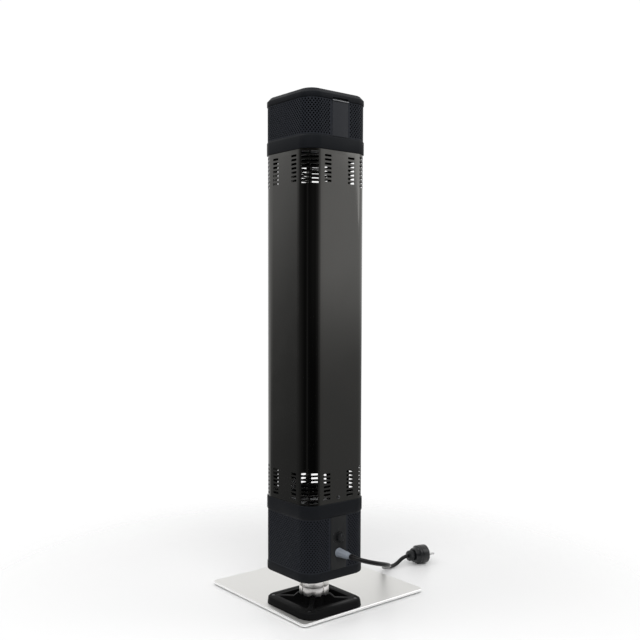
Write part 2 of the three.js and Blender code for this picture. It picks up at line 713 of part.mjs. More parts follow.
// ---- Upper housing: collar, bulkhead, perforated grille, lid -----------------------------------
function addUpperHousing() {
  const upperCollar = collar(upperCollarHeight).mirror([0, 0, 1]).translate([0, 0, upperCollarTop]);
  add('upper_collar', upperCollar, blackPlastic);
  add('upper_bulkhead', bulkhead(upperBulkhead, 16), zincSteel);
  add('upper_grille', grille(upperCollarTop + seat, lidBottom - seat), blackMesh);

  const slopeFoot = lidBottom + lidBand;
  const rows = [
    towerRow(lidBottom, grilleSide + 1.4), towerRow(lidBottom + 1, lidSide),
    towerRow(slopeFoot - 0.8, lidSide), towerRow(slopeFoot + 0.4, lidSide - 1.6),
    towerRow(slopeFoot + lidSlope, lidSide - 14.6), towerRow(lidLevel - 0.7, lidSide - 18),
    towerRow(lidLevel, lidSide - 27),
  ];
  const tongue = towerPrism(tongueSide, lidBottom - tongueHeight, lidBottom + 1);
  const hollow = tower([
    towerRow(lidBottom - tongueHeight - 1, boreSide), towerRow(slopeFoot - 0.5, boreSide),
    towerRow(lidLevel - lidTop, boreSide - 10),
  ]);
  const posts = corners.map(([sx, sy]) => cylinder(
    postRadius, upperBulkhead + bulkheadSheet + seat, lidLevel - lidTop + 1,
    { x: sx * postReach, y: sy * postReach, steps: smallSteps },
  ));
  const recess = box(
    -recessWidth / 2, recessWidth / 2, -lidSide, -lidSide / 2 + recessDepth,
    lidBottom - 1, lidBottom + recessHeight,
  );
  const shell = join([tower(rows), tongue]).subtract(hollow);
  add('lid', join([shell, ...posts]).subtract(recess), blackPlastic);
}

// ---- Control face ------------------------------------------------------------------------------
function addStrips() {
  const half = stripWidth / 2;
  const back = -stripFace + stripSheet;
  const lowerStrip = cut(
    box(-half, half, -stripFace, back, capTop + seat, lowerCollarBottom - seat),
    [
      cylinder(shaftRadius + fit, 0, 10).rotate([90, 0, 0]).translate([0, back + 4, knobLevel]),
      cylinder(glandStemRadius + fit, 0, 10).rotate([90, 0, 0]).translate([0, back + 4, glandLevel]),
    ],
  );
  add('control_strip', lowerStrip, slatePlastic);

  const top = lidBottom - seat;
  const lip = box(-half - 1, half + 1, -stripFace - ledgeLip, -stripFace + 0.5, top - ledgeLipHeight, top);
  const upperStrip = box(-half, half, -stripFace, back, upperCollarTop + seat, top).add(lip);
  add('upper_strip', upperStrip, slatePlastic);
}

function addSwitch() {
  const rim = [
    [0, 0], [knobRadius, 0], [knobRadius, knobHeight - 1.2],
    [knobRadius - 1.2, knobHeight], [0, knobHeight],
  ];
  const flute = cylinder(fluteRadius, 2, knobHeight + 1, { x: knobRadius + 0.6, steps: 6 });
  const pointer = box(-0.6, 0.6, 2.5, knobRadius + 1, knobHeight - 0.6, knobHeight + 1);
  const cap = cut(turned(rim), [...spunCopies(flute, knobFlutes, 15), pointer]);
  const shaft = cylinder(shaftRadius, -shaftLength, 1, { steps: 16 })
    .subtract(box(-shaftRadius, shaftRadius, shaftRadius - 1, shaftRadius + 1, -shaftLength - 1, -4));
  add('switch_knob', cap.add(shaft), blackPlastic, outOfFace(-stripFace - seat, knobLevel));

  const front = -stripFace + stripSheet + seat;
  const housing = box(
    -switchWidth / 2, switchWidth / 2, front, front + switchDepth,
    knobLevel - switchHeight / 2, knobLevel + switchHeight / 2,
  );
  const bore = cylinder(shaftRadius + fit, 0, shaftLength + 1).rotate([90, 0, 0])
    .translate([0, front + shaftLength, knobLevel]);
  const terminals = [-8, 0, 8].map((x) => box(
    x - 2.4, x + 2.4, front + switchDepth - 0.5, front + switchDepth + 7, knobLevel - 0.4, knobLevel + 0.4,
  ));
  add('rotary_switch', join([housing.subtract(bore), ...terminals]), blackPlastic);
}

// Tapered eight-sided gland, its locknut behind the strip, and the lead's route to the plug.
function addGland() {
  const sides = 8;
  const stem = cylinder(glandStemRadius, -nutHeight - 4, 1, { steps: 16 });
  const foot = cylinder(glandRootRadius + 0.8, 0, 3, { steps: 16 });
  const cone = cylinder(glandRootRadius, 2.5, glandLength - 6, { steps: sides, top: glandMouthRadius + 1 });
  const mouthRing = cylinder(glandMouthRadius, glandLength - 7, glandLength, { steps: 16 });
  const place = outOfFace(-stripFace - seat, glandLevel);
  add('cable_gland', join([stem, foot, cone, mouthRing]), glandPlastic, place);

  const nut = cylinder(nutRadius, 0, nutHeight, { steps: 6 })
    .subtract(cylinder(glandStemRadius + fit, -1, nutHeight + 1));
  const behind = -stripFace + stripSheet + nutHeight + seat;
  add('gland_nut', nut, glandPlastic, outOfFace(behind, glandLevel));
}

// Points of the lead, chosen by hand: out of the gland, round the control face, over the plate and
// down to the floor beside it.
const cordStart = -(stripFace + seat + glandLength + 0.3);
const cordRoute = [
  [0, cordStart, glandLevel], [0, -117, 129.4], [3, -132.2, 128.5], [11.1, -144.9, 126.2],
  [23.5, -153.1, 122.9], [38, -156, 118.9], [52.5, -153.3, 114], [66, -145, 108.2],
  [86, -122.6, 98.4], [105.9, -100.2, 88.7], [125.9, -77.8, 79], [145.8, -55.4, 69.3],
  [165.8, -33, 59.5], [185.7, -10.5, 49.7], [205.7, 11.9, 39.9], [222.3, 30.6, 31.4],
  [236.9, 47, 23.2], [249.6, 61.3, 15.8], [257.5, 68.5, 12], [266.6, 73.7, 8.9],
  [276.5, 76.9, 6.7], [286.9, 78, 5.4], [291, 78, 5.2], [297, 78, 5.6],
  [303, 77.7, 7.1], [309, 77.1, 9.7], [314, 76.4, 13], [319, 75.5, 16.3],
  [324.9, 74.4, 19.1], [330.5, 73.25, 20.8], [334.2, 72.5, 21.15], [plugX - 0.5, plugY + 0.11, 21.2],
];

function addCord() {
  const curve = new THREE.CatmullRomCurve3(cordRoute.map((point) => new THREE.Vector3(...point)));
  const circle = Array.from({ length: cordSides }, (_, i) => {
    const angle = (2 * Math.PI * i) / cordSides;
    return new THREE.Vector2(cordRadius * Math.cos(angle), cordRadius * Math.sin(angle));
  });
  const tube = new THREE.ExtrudeGeometry(new THREE.Shape(circle), {
    steps: cordSteps, extrudePath: curve, bevelEnabled: false,
  });
  add('mains_cord', solid(tube), rubber);
}

// Round two-pin plug lying on the floor, built along +Z and then laid down.
function addPlug() {
  const addLaid = (name, body, look) =>
    add(name, body.rotate([0, 90, plugHeading]).translate([plugX, plugY, plugRadius + seat]), look);
  const nutFront = plugGripLength;
  const rear = nutFront + seat;
  const waist = rear + plugDome;
  const front = waist + plugLength;
  const nut = turned([
    [0, 0], [plugGripRadius - 2.5, 0], [plugGripRadius, 3], [plugGripRadius, nutFront], [0, nutFront],
  ], 20);
  addLaid('plug_grip_nut', nut, rubber);
  const body = turned([
    [0, rear], [plugRadius - 5, rear], [plugRadius, waist], [plugRadius, front - 1.5],
    [plugRadius - 1.5, front], [0, front],
  ], 24);
  const sockets = [-1, 1].map((sign) =>
    cylinder(pinRadius + seat, front - 6, front + 1, { y: (sign * pinSpacing) / 2, steps: smallSteps }));
  addLaid('plug_body', cut(body, sockets), rubber);
  [-1, 1].forEach((sign, i) => {
    const pin = turned([
      [0, front - 6 + seat], [pinRadius, front - 6 + seat], [pinRadius, front + pinLength - 1.5],
      [pinRadius - 1.2, front + pinLength], [0, front + pinLength],
    ], smallSteps).translate([0, (sign * pinSpacing) / 2, 0]);
    addLaid(`plug_pin_${i + 1}`, pin, pinMetal);
  });
}

// ---- Inner pieces of the lower housing ---------------------------------------------------------
function addTerminalBlock() {
  const y = postReach;
  const z = capBottom + capFloor + seat;
  const half = blockWidth / 2;
  const pole = blockWidth / blockPoles;
  const wells = Array.from({ length: blockPoles }, (_, i) => {
    const x = -half + (i + 0.5) * pole;
    return cylinder(2.6, z + 5, z + blockHeight + 1, { x, y, steps: 8 });
  });
  const body = box(-half, half, y - blockDepth / 2, y + blockDepth / 2, z, z + blockHeight);
  add('terminal_block', cut(body, wells), ceramic);
}

// Tilt switch: a weight on a pivot that breaks the circuit when the tower leans.
function addTiltSwitch() {
  const y = postReach - 4;
  const top = lowerBulkhead - seat;
  const pivot = top - 12;
  const inner = tiltWidth / 2 + fit;
  const outer = inner + tiltCheek;
  const cheek = (x0, x1) => box(x0, x1, y - 9, y + 9, pivot - 6, top - 1);
  const across = (radius, half, steps) =>
    cylinder(radius, -half, half, { steps }).rotate([0, 90, 0]);
  const pin = across(tiltPinRadius, outer, smallSteps).translate([0, y, pivot]);
  const bracket = join([
    box(-outer - 6, outer + 6, y - 9, y + 9, top - tiltCheek, top),
    cheek(-outer, -inner), cheek(inner, outer), pin,
  ]);
  add('tilt_switch_bracket', bracket, zincSteel);

  const eye = across(tiltPinRadius + tiltPinFit + 3, tiltWidth / 2, 16);
  const weight = across(tiltWeightRadius, tiltWidth / 2, 20).translate([0, 0, -tiltArm]);
  const arm = box(-2, 2, -2, 2, -tiltArm, 0);
  const hole = across(tiltPinRadius + tiltPinFit, tiltWidth, 16);
  const pendulum = join([eye, weight, arm]).subtract(hole);
  add('tilt_pendulum', pendulum, zincSteel, { position: [0, y, pivot] });
}

addBase();
addPedestal();
addCoupling();
addLowerHousing();
addColumn();
addHeatingUnit('left', 0);
addHeatingUnit('right', 90);
addUpperHousing();
addStrips();
addSwitch();
addGland();
addCord();
addPlug();
addTerminalBlock();
addTiltSwitch();

export default heater;
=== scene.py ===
import bpy
import bmesh
import math
from mathutils import Vector, Matrix
from mathutils.geometry import delaunay_2d_cdt


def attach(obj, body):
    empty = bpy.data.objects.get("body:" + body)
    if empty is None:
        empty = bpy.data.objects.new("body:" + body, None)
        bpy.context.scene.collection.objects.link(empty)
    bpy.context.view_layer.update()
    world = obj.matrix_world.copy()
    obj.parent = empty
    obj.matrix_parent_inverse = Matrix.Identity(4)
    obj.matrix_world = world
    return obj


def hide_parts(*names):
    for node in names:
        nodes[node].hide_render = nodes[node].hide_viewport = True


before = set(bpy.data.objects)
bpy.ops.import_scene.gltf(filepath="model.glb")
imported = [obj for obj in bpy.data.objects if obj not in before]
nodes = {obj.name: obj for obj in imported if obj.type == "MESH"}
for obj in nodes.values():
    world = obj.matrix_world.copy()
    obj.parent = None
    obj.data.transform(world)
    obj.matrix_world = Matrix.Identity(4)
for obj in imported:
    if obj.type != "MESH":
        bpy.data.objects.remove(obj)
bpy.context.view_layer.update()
scene = bpy.context.scene

# The tower's axis stands off the footprint's middle. Sizes below are millimetres from that axis.
towerAxis = (74.0, 79.7)


def place(x, y, z):
    return Vector(((x - towerAxis[0]) / 1000, (y - towerAxis[1]) / 1000, z / 1000))


# Fitted to the outlines of the tower and the plate. Position in millimetres, angles in degrees.
cameraSettings = {
    "position": (-1037.9, -1287.1, 618.2), "lens": 47.45, "sensor": 36, "clip": (0.05, 60),
    "heading": 39.245, "pitch": 3.478, "roll": 0.166, "shiftY": 0.0452,
}


def makeCamera(settings):
    data = bpy.data.cameras.new("photoCamera")
    data.lens = settings["lens"]
    data.sensor_width = settings["sensor"]
    data.shift_y = settings["shiftY"]
    data.clip_start, data.clip_end = settings["clip"]
    camera = bpy.data.objects.new("photoCamera", data)
    scene.collection.objects.link(camera)
    turn = Matrix.Rotation(math.radians(-settings["heading"]), 4, "Z")
    tilt = Matrix.Rotation(math.radians(90 - settings["pitch"]), 4, "X")
    roll = Matrix.Rotation(math.radians(settings["roll"]), 4, "Z")
    camera.matrix_world = Matrix.Translation(place(*settings["position"])) @ turn @ tilt @ roll
    scene.camera = camera


makeCamera(cameraSettings)
print("camera placed")


def groupWithSockets(name, inputs, outputs):
    group = bpy.data.node_groups.new(name, "ShaderNodeTree")
    for label, kind, value in inputs:
        socket = group.interface.new_socket(name=label, in_out="INPUT", socket_type=kind)
        socket.default_value = value
    for label, kind in outputs:
        group.interface.new_socket(name=label, in_out="OUTPUT", socket_type=kind)
    given, result = group.nodes.new("NodeGroupInput"), group.nodes.new("NodeGroupOutput")
    return group, given.outputs, result.inputs


# Links each socket to the output given for it, or sets it to the value given.
def feed(tree, sockets, values):
    for key, value in values.items():
        if isinstance(value, bpy.types.NodeSocket):
            tree.links.new(value, sockets[key])
        else:
            sockets[key].default_value = value


def addNode(tree, kind, sockets=None, **attributes):
    node = tree.nodes.new(kind)
    for key, value in attributes.items():
        setattr(node, key, value)
    feed(tree, node.inputs, sockets or {})
    return node


def objectCoordinates(tree, source="Object"):
    return addNode(tree, "ShaderNodeTexCoord").outputs[source]


def combine(tree, operation, first, second, clamp=False):
    return addNode(tree, "ShaderNodeMath", {0: first, 1: second}, operation=operation,
                   use_clamp=clamp).outputs[0]


def combineVectors(tree, operation, first, second, output=0):
    return addNode(tree, "ShaderNodeVectorMath", {0: first, 1: second},
                   operation=operation).outputs[output]


def remap(tree, value, low, high, newLow=0, newHigh=1, smooth=False):
    sockets = {"Value": value, "From Min": low, "From Max": high, "To Min": newLow,
               "To Max": newHigh}
    kind = "SMOOTHSTEP" if smooth else "LINEAR"
    return addNode(tree, "ShaderNodeMapRange", sockets, interpolation_type=kind).outputs["Result"]


def mixColors(tree, factor, first, second, blend="MIX"):
    return addNode(tree, "ShaderNodeMix", {"Factor": factor, 6: first, 7: second}, data_type="RGBA",
                   blend_type=blend).outputs[2]


def noise(tree, where, scale, detail, roughness=0.5):
    sockets = {"Vector": where, "Scale": scale, "Detail": detail, "Roughness": roughness}
    return addNode(tree, "ShaderNodeTexNoise", sockets).outputs["Fac"]


# Fine pebbled skin of a moulding or powder coat: a height, and a roughness that wanders a little.
def makePebbleGroup():
    group, given, result = groupWithSockets(
        "pebbledSkin",
        [("Grain", "NodeSocketFloat", 900.0), ("Roughness", "NodeSocketFloat", 0.5),
         ("Wander", "NodeSocketFloat", 0.1)],
        [("Height", "NodeSocketFloat"), ("Roughness", "NodeSocketFloat")])
    where = objectCoordinates(group)
    broad = remap(group, noise(group, where, 14, 2), 0.3, 0.7, -1)
    wander = combine(group, "MULTIPLY", broad, given["Wander"])
    feed(group, result, {"Height": noise(group, where, given["Grain"], 3, 0.6),
                         "Roughness": combine(group, "ADD", wander, given["Roughness"], True)})
    return group


# Drawn or turned lines: noise stretched along one axis, as a height, a roughness and a tone.
def makeBrushGroup():
    group, given, result = groupWithSockets(
        "brushLines",
        [("Stretch", "NodeSocketVector", (1.0, 1.0, 1.0)), ("Lines", "NodeSocketFloat", 300.0),
         ("Roughness", "NodeSocketFloat", 0.3), ("Spread", "NodeSocketFloat", 0.1)],
        [("Height", "NodeSocketFloat"), ("Roughness", "NodeSocketFloat"),
         ("Tone", "NodeSocketFloat")])
    where = objectCoordinates(group)
    stretched = combineVectors(group, "MULTIPLY", where, given["Stretch"])
    lines = noise(group, stretched, given["Lines"], 4, 0.7)
    smudged = combine(group, "MULTIPLY", lines, noise(group, where, 9, 3))
    spread = combine(group, "MULTIPLY", smudged, given["Spread"])
    feed(group, result, {"Height": lines, "Tone": remap(group, lines, 0, 1, 0.94, 1.04),
                         "Roughness": combine(group, "ADD", spread, given["Roughness"], True)})
    return group


# Dust that settles on faces that look up, and thins out in soft patches.
def makeDustGroup():
    group, given, result = groupWithSockets(
        "settledDust",
        [("Color", "NodeSocketColor", (0.02, 0.02, 0.02, 1)),
         ("Dust", "NodeSocketColor", (0.2, 0.2, 0.19, 1)), ("Amount", "NodeSocketFloat", 0.2)],
        [("Color", "NodeSocketColor")])
    normal = addNode(group, "ShaderNodeNewGeometry").outputs["Normal"]
    upward = remap(group, combineVectors(group, "DOT_PRODUCT", normal, (0, 0, 1), "Value"), 0.2, 1)
    patchy = combine(group, "MULTIPLY", upward, noise(group, objectCoordinates(group), 40, 5))
    cover = combine(group, "MULTIPLY", patchy, given["Amount"], True)
    feed(group, result, {"Color": mixColors(group, cover, given["Color"], given["Dust"])})
    return group


pebbledSkin = makePebbleGroup()
brushLines = makeBrushGroup()
settledDust = makeDustGroup()


def newMaterial(name):
    material = bpy.data.materials.new(name)
    material.use_nodes = True
    tree = material.node_tree
    return material, tree, tree.nodes["Principled BSDF"].inputs


def placeGroup(tree, group, sockets):
    return addNode(tree, "ShaderNodeGroup", sockets, node_tree=group).outputs


# The normal of a bump, which lies over another one where that is given.
def bumpNormal(tree, height, strength, distance, under=None):
    sockets = {"Strength": strength, "Distance": distance, "Height": height}
    if under:
        sockets["Normal"] = under
    return addNode(tree, "ShaderNodeBump", sockets).outputs["Normal"]


def moulded(name, color, roughness, grain, bump, dust, gloss):
    material, tree, shader = newMaterial(name)
    skin = placeGroup(tree, pebbledSkin, {"Grain": grain, "Roughness": roughness, "Wander": 0.08})
    dusty = (*[0.6 * c + 0.02 for c in color], 1)
    cover = placeGroup(tree, settledDust, {"Color": (*color, 1), "Amount": dust, "Dust": dusty})
    feed(tree, shader, {"Base Color": cover["Color"], "Roughness": skin["Roughness"],
                        "Normal": bumpNormal(tree, skin["Height"], bump, 0.00012),
                        "Specular IOR Level": gloss})
    return material


def metal(name, color, roughness, stretch, lines, bump, spread):
    material, tree, shader = newMaterial(name)
    brush = placeGroup(tree, brushLines, {"Stretch": stretch, "Lines": lines,
                                          "Roughness": roughness, "Spread": spread})
    feed(tree, shader, {"Base Color": mixColors(tree, 1, (*color, 1), brush["Tone"], "MULTIPLY"),
                        "Roughness": brush["Roughness"], "Metallic": 1,
                        "Normal": bumpNormal(tree, brush["Height"], bump, 0.00005)})
    return material


# Dark glossy coat of the column: a mirror-like tint with the long ripple of rolled sheet.
def columnCoat(settings):
    material, tree, shader = newMaterial("columnCoat")
    stretched = combineVectors(tree, "MULTIPLY", objectCoordinates(tree), settings["rippleStretch"])
    waves = noise(tree, stretched, 1, 1)
    skin = placeGroup(tree, pebbledSkin, {"Grain": settings["grain"], "Wander": 0.03,
                                          "Roughness": settings["roughness"]})
    ripple = bumpNormal(tree, waves, *settings["rippleBump"])
    feed(tree, shader, {
        "Base Color": mixColors(tree, waves, (*settings["color"], 1), (*settings["colorWarm"], 1)),
        "Roughness": skin["Roughness"], "Metallic": 1,
        "Normal": bumpNormal(tree, skin["Height"], *settings["grainBump"], ripple)})
    return material


# Satin plate. Its rounded edge and sides are polished (lower roughness) and carry a painted
# highlight (a lighter colour).
def plateFinish(settings):
    material, tree, shader = newMaterial("plateSteel")
    brush = placeGroup(tree, brushLines, {"Stretch": (1, 0.02, 1), "Lines": settings["lines"],
                                          "Roughness": settings["roughness"], "Spread": 0.05})
    normal = addNode(tree, "ShaderNodeNewGeometry").outputs["Normal"]
    upward = addNode(tree, "ShaderNodeSeparateXYZ", {0: normal}).outputs["Z"]
    edge = remap(tree, upward, *settings["edgeTurn"], smooth=True)
    # the lighter edge colour is a painted highlight
    color = mixColors(tree, edge, (*settings["color"], 1), (*settings["edgeHighlightColor"], 1))
    polish = addNode(tree, "ShaderNodeMix", {"Factor": edge, 2: brush["Roughness"],
                                             3: settings["edgeRoughness"]}, data_type="FLOAT")
    feed(tree, shader, {"Base Color": mixColors(tree, 0.5, color, brush["Tone"], "MULTIPLY"),
                        "Roughness": polish.outputs[0], "Metallic": 1})
    return material


def quartz(settings):
    material, tree, shader = newMaterial("quartzTube")
    streaks = placeGroup(tree, brushLines, {"Stretch": (1, 1, 0.05), "Lines": 250,
                                            "Roughness": 0.03, "Spread": 0.08})
    feed(tree, shader, {"Roughness": streaks["Roughness"], "Base Color": (*settings["color"], 1),
                        "Transmission Weight": settings["clear"], "IOR": settings["bend"]})
    return material


columnLook = {
    "color": (0.0915, 0.0925, 0.0880), "colorWarm": (0.096, 0.0925, 0.0885), "roughness": 0.12,
    "grain": 1600, "grainBump": (0.05, 0.00005),
    "rippleStretch": (9.0, 9.0, 1.2), "rippleBump": (0.12, 0.0004),
}
plateLook = {
    "color": (0.825, 0.82, 0.80), "roughness": 0.52, "lines": 900,
    # the edge colour is a painted highlight; the edge roughness is the real polish
    "edgeHighlightColor": (0.97, 0.97, 0.965), "edgeRoughness": 0.18, "edgeTurn": (0.97, 0.55),
}
quartzLook = {"color": (0.95, 0.72, 0.42), "clear": 0.9, "bend": 1.46}

# colour, roughness, grain, bump, dust, gloss
mouldedLooks = {
    "housingPlastic": ((0.0070, 0.0078, 0.0094), 0.5, 700, 0.3, 0.05, 0.08),
    "meshCoat": ((0.0150, 0.0167, 0.0208), 0.5, 1500, 0.15, 0.03, 0.08),
    "pedestalPlastic": ((0.0060, 0.0060, 0.0062), 0.4, 500, 0.15, 0.05, 0.02),
    "stripPlastic": ((0.029, 0.0305, 0.0345), 0.45, 1100, 0.2, 0.05, 0.12),
    "controlPlastic": ((0.0165, 0.0170, 0.0175), 0.45, 1100, 0.2, 0.05, 0.1),
    "glandPlastic": ((0.172, 0.19, 0.218), 0.42, 900, 0.15, 0.05, 0.25),
    "knobPlastic": ((0.0075, 0.008, 0.0088), 0.35, 900, 0.2, 0.05, 0.2),
    "cordRubber": ((0.0035, 0.0035, 0.004), 0.3, 1200, 0.1, 0.03, 0.3),
    "plugRubber": ((0.005, 0.0055, 0.0065), 0.3, 800, 0.2, 0.05, 0.4),
    "padRubber": ((0.02, 0.02, 0.021), 0.8, 600, 0.4, 0.15, 0.25),
    "innerPlastic": ((0.03, 0.03, 0.032), 0.5, 900, 0.25, 0.15, 0.25),
    "ceramicBody": ((0.72, 0.70, 0.64), 0.7, 500, 0.3, 0.1, 0.5),
    "guardCoat": ((0.012, 0.012, 0.013), 0.4, 1500, 0.1, 0.05, 0.5),
    # near-black sheet behind the grille holes: painted shade
    "paintedShadeBlack": ((0.0012, 0.0012, 0.0014), 0.9, 700, 0.2, 0.0, 0.05),
    # light grey of the strip's top lip: a painted highlight along its edge
    "lipHighlightGrey": ((0.2, 0.205, 0.21), 0.35, 900, 0.1, 0.0, 0.5),
    "markGrey": ((0.06, 0.062, 0.066), 0.6, 900, 0.1, 0.0, 0.25),
}
# colour, roughness, stretch of the lines, how many, bump, spread
metalLooks = {
    "couplingMetal": ((0.95, 0.93, 0.91), 0.32, (0.03, 0.03, 1), 500, 0.15, 0.1),
    "spigotSteel": ((0.62, 0.62, 0.61), 0.3, (1, 1, 0.05), 400, 0.2, 0.15),
    "zincPlate": ((0.62, 0.63, 0.64), 0.32, (1, 1, 1), 200, 0.15, 0.15),
    "darkScrew": ((0.09, 0.09, 0.095), 0.35, (1, 1, 1), 200, 0.15, 0.15),
    "mirrorSheet": ((0.9, 0.89, 0.87), 0.12, (1, 1, 0.04), 500, 0.12, 0.1),
    "pinMetal": ((0.5, 0.5, 0.5), 0.25, (0.05, 1, 1), 400, 0.15, 0.15),
    "filament": ((0.35, 0.33, 0.32), 0.35, (1, 1, 1), 900, 0.2, 0.15),
}
finishes = {
    "columnCoat": columnCoat(columnLook), "plateSteel": plateFinish(plateLook),
    "quartzTube": quartz(quartzLook),
    **{name: moulded(name, *look) for name, look in mouldedLooks.items()},
    **{name: metal(name, *look) for name, look in metalLooks.items()},
}
print("materials made:", len(finishes))


# Faces between rings of the same number of points, with flat ends or as a closed loop.
def ringFaces(rings, count, loop=False, base=0):
    faces = []
    for r in range(rings if loop else rings - 1):
        low, high = base + r * count, base + (r + 1) % rings * count
        for i in range(count):
            j = (i + 1) % count
            faces.append((low + i, low + j, high + j, high + i))
    if not loop:
        faces.append(tuple(base + i for i in reversed(range(count))))
        faces.append(tuple(base + (rings - 1) * count + i for i in range(count)))
    return faces


def addPiece(name, points, faces, *finishing, **options):
    mesh = bpy.data.meshes.new(name)
    mesh.from_pydata([place(*p) for p in points], [], faces)
    return finishPiece(name, mesh, *finishing, **options)


def finishPiece(name, mesh, finish, slotName, replaced=(), body="heater", angle=32, merge=True):
    shaped = bmesh.new()
    shaped.from_mesh(mesh)
    if merge:
        bmesh.ops.remove_doubles(shaped, verts=shaped.verts, dist=1e-6)
    bmesh.ops.recalc_face_normals(shaped, faces=shaped.faces)
    shaped.to_mesh(mesh)
    shaped.free()
    piece = bpy.data.objects.new(name, mesh)
    scene.collection.objects.link(piece)
    mesh.materials.append(finishes[finish])
    smoothByAngle(mesh, angle)
    if replaced:
        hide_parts(*replaced)
    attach(piece, body)
    return piece


def smoothByAngle(mesh, angle):
    mesh.shade_smooth()
    mesh.set_sharp_from_angle(angle=math.radians(angle))


# Applies what stands on the piece's modifier stack, then smooths it again by angle.
def applyModifiers(piece, angle=32):
    evaluated = piece.evaluated_get(bpy.context.evaluated_depsgraph_get())
    mesh = bpy.data.meshes.new_from_object(evaluated)
    piece.modifiers.clear()
    piece.data = mesh
    smoothByAngle(mesh, angle)


sharpEdge = 30  # edges that turn by more degrees than this are softened


def addBevel(piece, width, segments=2, angle=32):
    bevel = piece.modifiers.new("softEdges", "BEVEL")
    bevel.width = width / 1000
    bevel.segments = segments
    bevel.limit_method = "ANGLE"
    bevel.angle_limit = math.radians(sharpEdge)
    applyModifiers(piece, angle)


# A fine piece made from a frame solid: its facets are merged and its edges softened.
def dressed(node, finish, slotName, bevel, segments=2, body="heater", angle=32):
    mesh = nodes[node].data.copy()
    mesh.materials.clear()
    shaped = bmesh.new()
    shaped.from_mesh(mesh)
    bmesh.ops.remove_doubles(shaped, verts=shaped.verts, dist=2e-6)
    bmesh.ops.dissolve_limit(shaped, angle_limit=math.radians(0.5), verts=shaped.verts,
                             edges=shaped.edges)
    shaped.to_mesh(mesh)
    shaped.free()
    if mesh.attributes.get("custom_normal"):
        mesh.attributes.remove(mesh.attributes["custom_normal"])
    piece = finishPiece(node + "_fine", mesh, finish, slotName, [node], body, angle)
    addBevel(piece, bevel, segments, angle)


def paintNode(node, finish):
    nodes[node].data.materials.clear()
    nodes[node].data.materials.append(finishes[finish])


cornerRadius = 29.25  # of the column; wider pieces have it larger by what they stand out
columnSide = 147.5


def roundedRectangle(s, z, width, height, radius, steps):
    points = []
    for quarter, (sx, sz) in enumerate([(1, 1), (-1, 1), (-1, -1), (1, -1)]):
        for step in range(steps + 1):
            angle = (quarter + step / steps) * math.pi / 2
            points.append((s + sx * (width / 2 - radius) + radius * math.cos(angle),
                           z + sz * (height / 2 - radius) + radius * math.sin(angle)))
    return points


# Stacks rounded squares, given as [z, side] or [z, side, radius].
def towerLoft(rows, loop=False, steps=14, middle=(0, 0)):
    points = []
    for z, side, *radius in rows:
        corner = radius[0] if radius else cornerRadius + (side - columnSide) / 2
        points += [(x + middle[0], y + middle[1], z)
                   for x, y in roundedRectangle(0, 0, side, side, corner, steps)]
    return points, ringFaces(len(rows), 4 * (steps + 1), loop)


# Turns [radius, level] rows about an axis; axis "z" stands up, "-y" points out of the control face.
def turnedMesh(rows, steps=48, origin=(0, 0, 0), axis="z", loop=False):
    points = []
    for radius, level in rows:
        for i in range(steps):
            angle = 2 * math.pi * i / steps
            a, b = radius * math.cos(angle), radius * math.sin(angle)
            offset = {"z": (a, b, level), "-y": (a, -level, b), "x": (level, a, b)}[axis]
            points.append(tuple(o + d for o, d in zip(origin, offset)))
    return points, ringFaces(len(rows), steps, loop)


# Rows of a rounded edge, either the upper one, which closes in, or the lower one, which opens out.
def arcRows(z0, z1, side, inset, upper, steps=5):
    rows = []
    for k in range(steps + 1):
        rise, inward = math.sin(k / steps * math.pi / 2), 1 - math.cos(k / steps * math.pi / 2)
        if not upper:
            rise, inward = inward, 1 - rise
        rows.append([z0 + (z1 - z0) * rise, side - 2 * inset * inward])
    return rows


# Walks round the tower's outline from the middle of the control face towards +X.
def outlinePoint(side, s):
    radius = cornerRadius + (side - columnSide) / 2
    flat, arc = side - 2 * radius, radius * math.pi / 2
    s = (s + flat / 2) % (4 * (flat + arc))
    quarter, along = divmod(s, flat + arc)
    if along < flat:
        x, y = along - flat / 2, -side / 2
    else:
        angle = -math.pi / 2 + (along - flat) / radius
        x, y = flat / 2 + radius * math.cos(angle), -flat / 2 + radius * math.sin(angle)
    turn = quarter * math.pi / 2
    cosine, sine = math.cos(turn), math.sin(turn)
    return x * cosine - y * sine, x * sine + y * cosine


def outlineLength(side):
    radius = cornerRadius + (side - columnSide) / 2
    return 4 * (side - 2 * radius) + 2 * math.pi * radius


def thicken(piece, thickness):
    wall = piece.modifiers.new("wall", "SOLIDIFY")
    wall.thickness = thickness / 1000
    wall.offset = -1
    wall.use_even_offset = True
    applyModifiers(piece)


# Route of the lead on its middle line, from the gland to the plug.
cordSettings = {
    "route": [
        (0, -110.4, 129.5), (0, -117, 129.4), (3, -132.2, 128.5), (11.1, -144.9, 126.2),
        (23.5, -152.9, 122.9), (38, -155.75, 118.9), (52.5, -153.1, 114), (66, -145, 108.2),
        (86, -122.6, 98.4), (105.9, -100.2, 88.7), (125.9, -77.8, 79), (145.8, -55.4, 69.3),
        (165.8, -33, 59.5), (185.7, -10.5, 49.7), (205.7, 11.9, 39.9), (222.3, 30.6, 31.4),
        (236.9, 47, 23.2), (249.6, 61.3, 15.8), (257.5, 68.5, 12), (266.6, 73.7, 8.9),
        (276.5, 76.9, 6.7), (286.9, 78, 5.4), (291, 78, 5.2), (297, 78, 5.6),
        (303, 77.7, 7.1), (309, 77.1, 9.7), (314, 76.4, 13), (319, 75.5, 16.3),
        (324.9, 74.4, 19.1), (330.5, 73.25, 20.8), (334.2, 72.5, 21.15), (336.5, 72.01, 21.2),
    ],
    "diameter": 8.7,
    "length": 0.4896,
}
plugSettings = {"start": (337, 71.9, 21.2), "heading": -12, "gripRadius": 12, "gripLength": 14,
                "gap": 0.2, "radius": 21, "dome": 10, "length": 24, "ribs": 24, "ribDepth": 0.93,
                "pinRadius": 2.4, "pinSpacing": 19, "pinLength": 19}


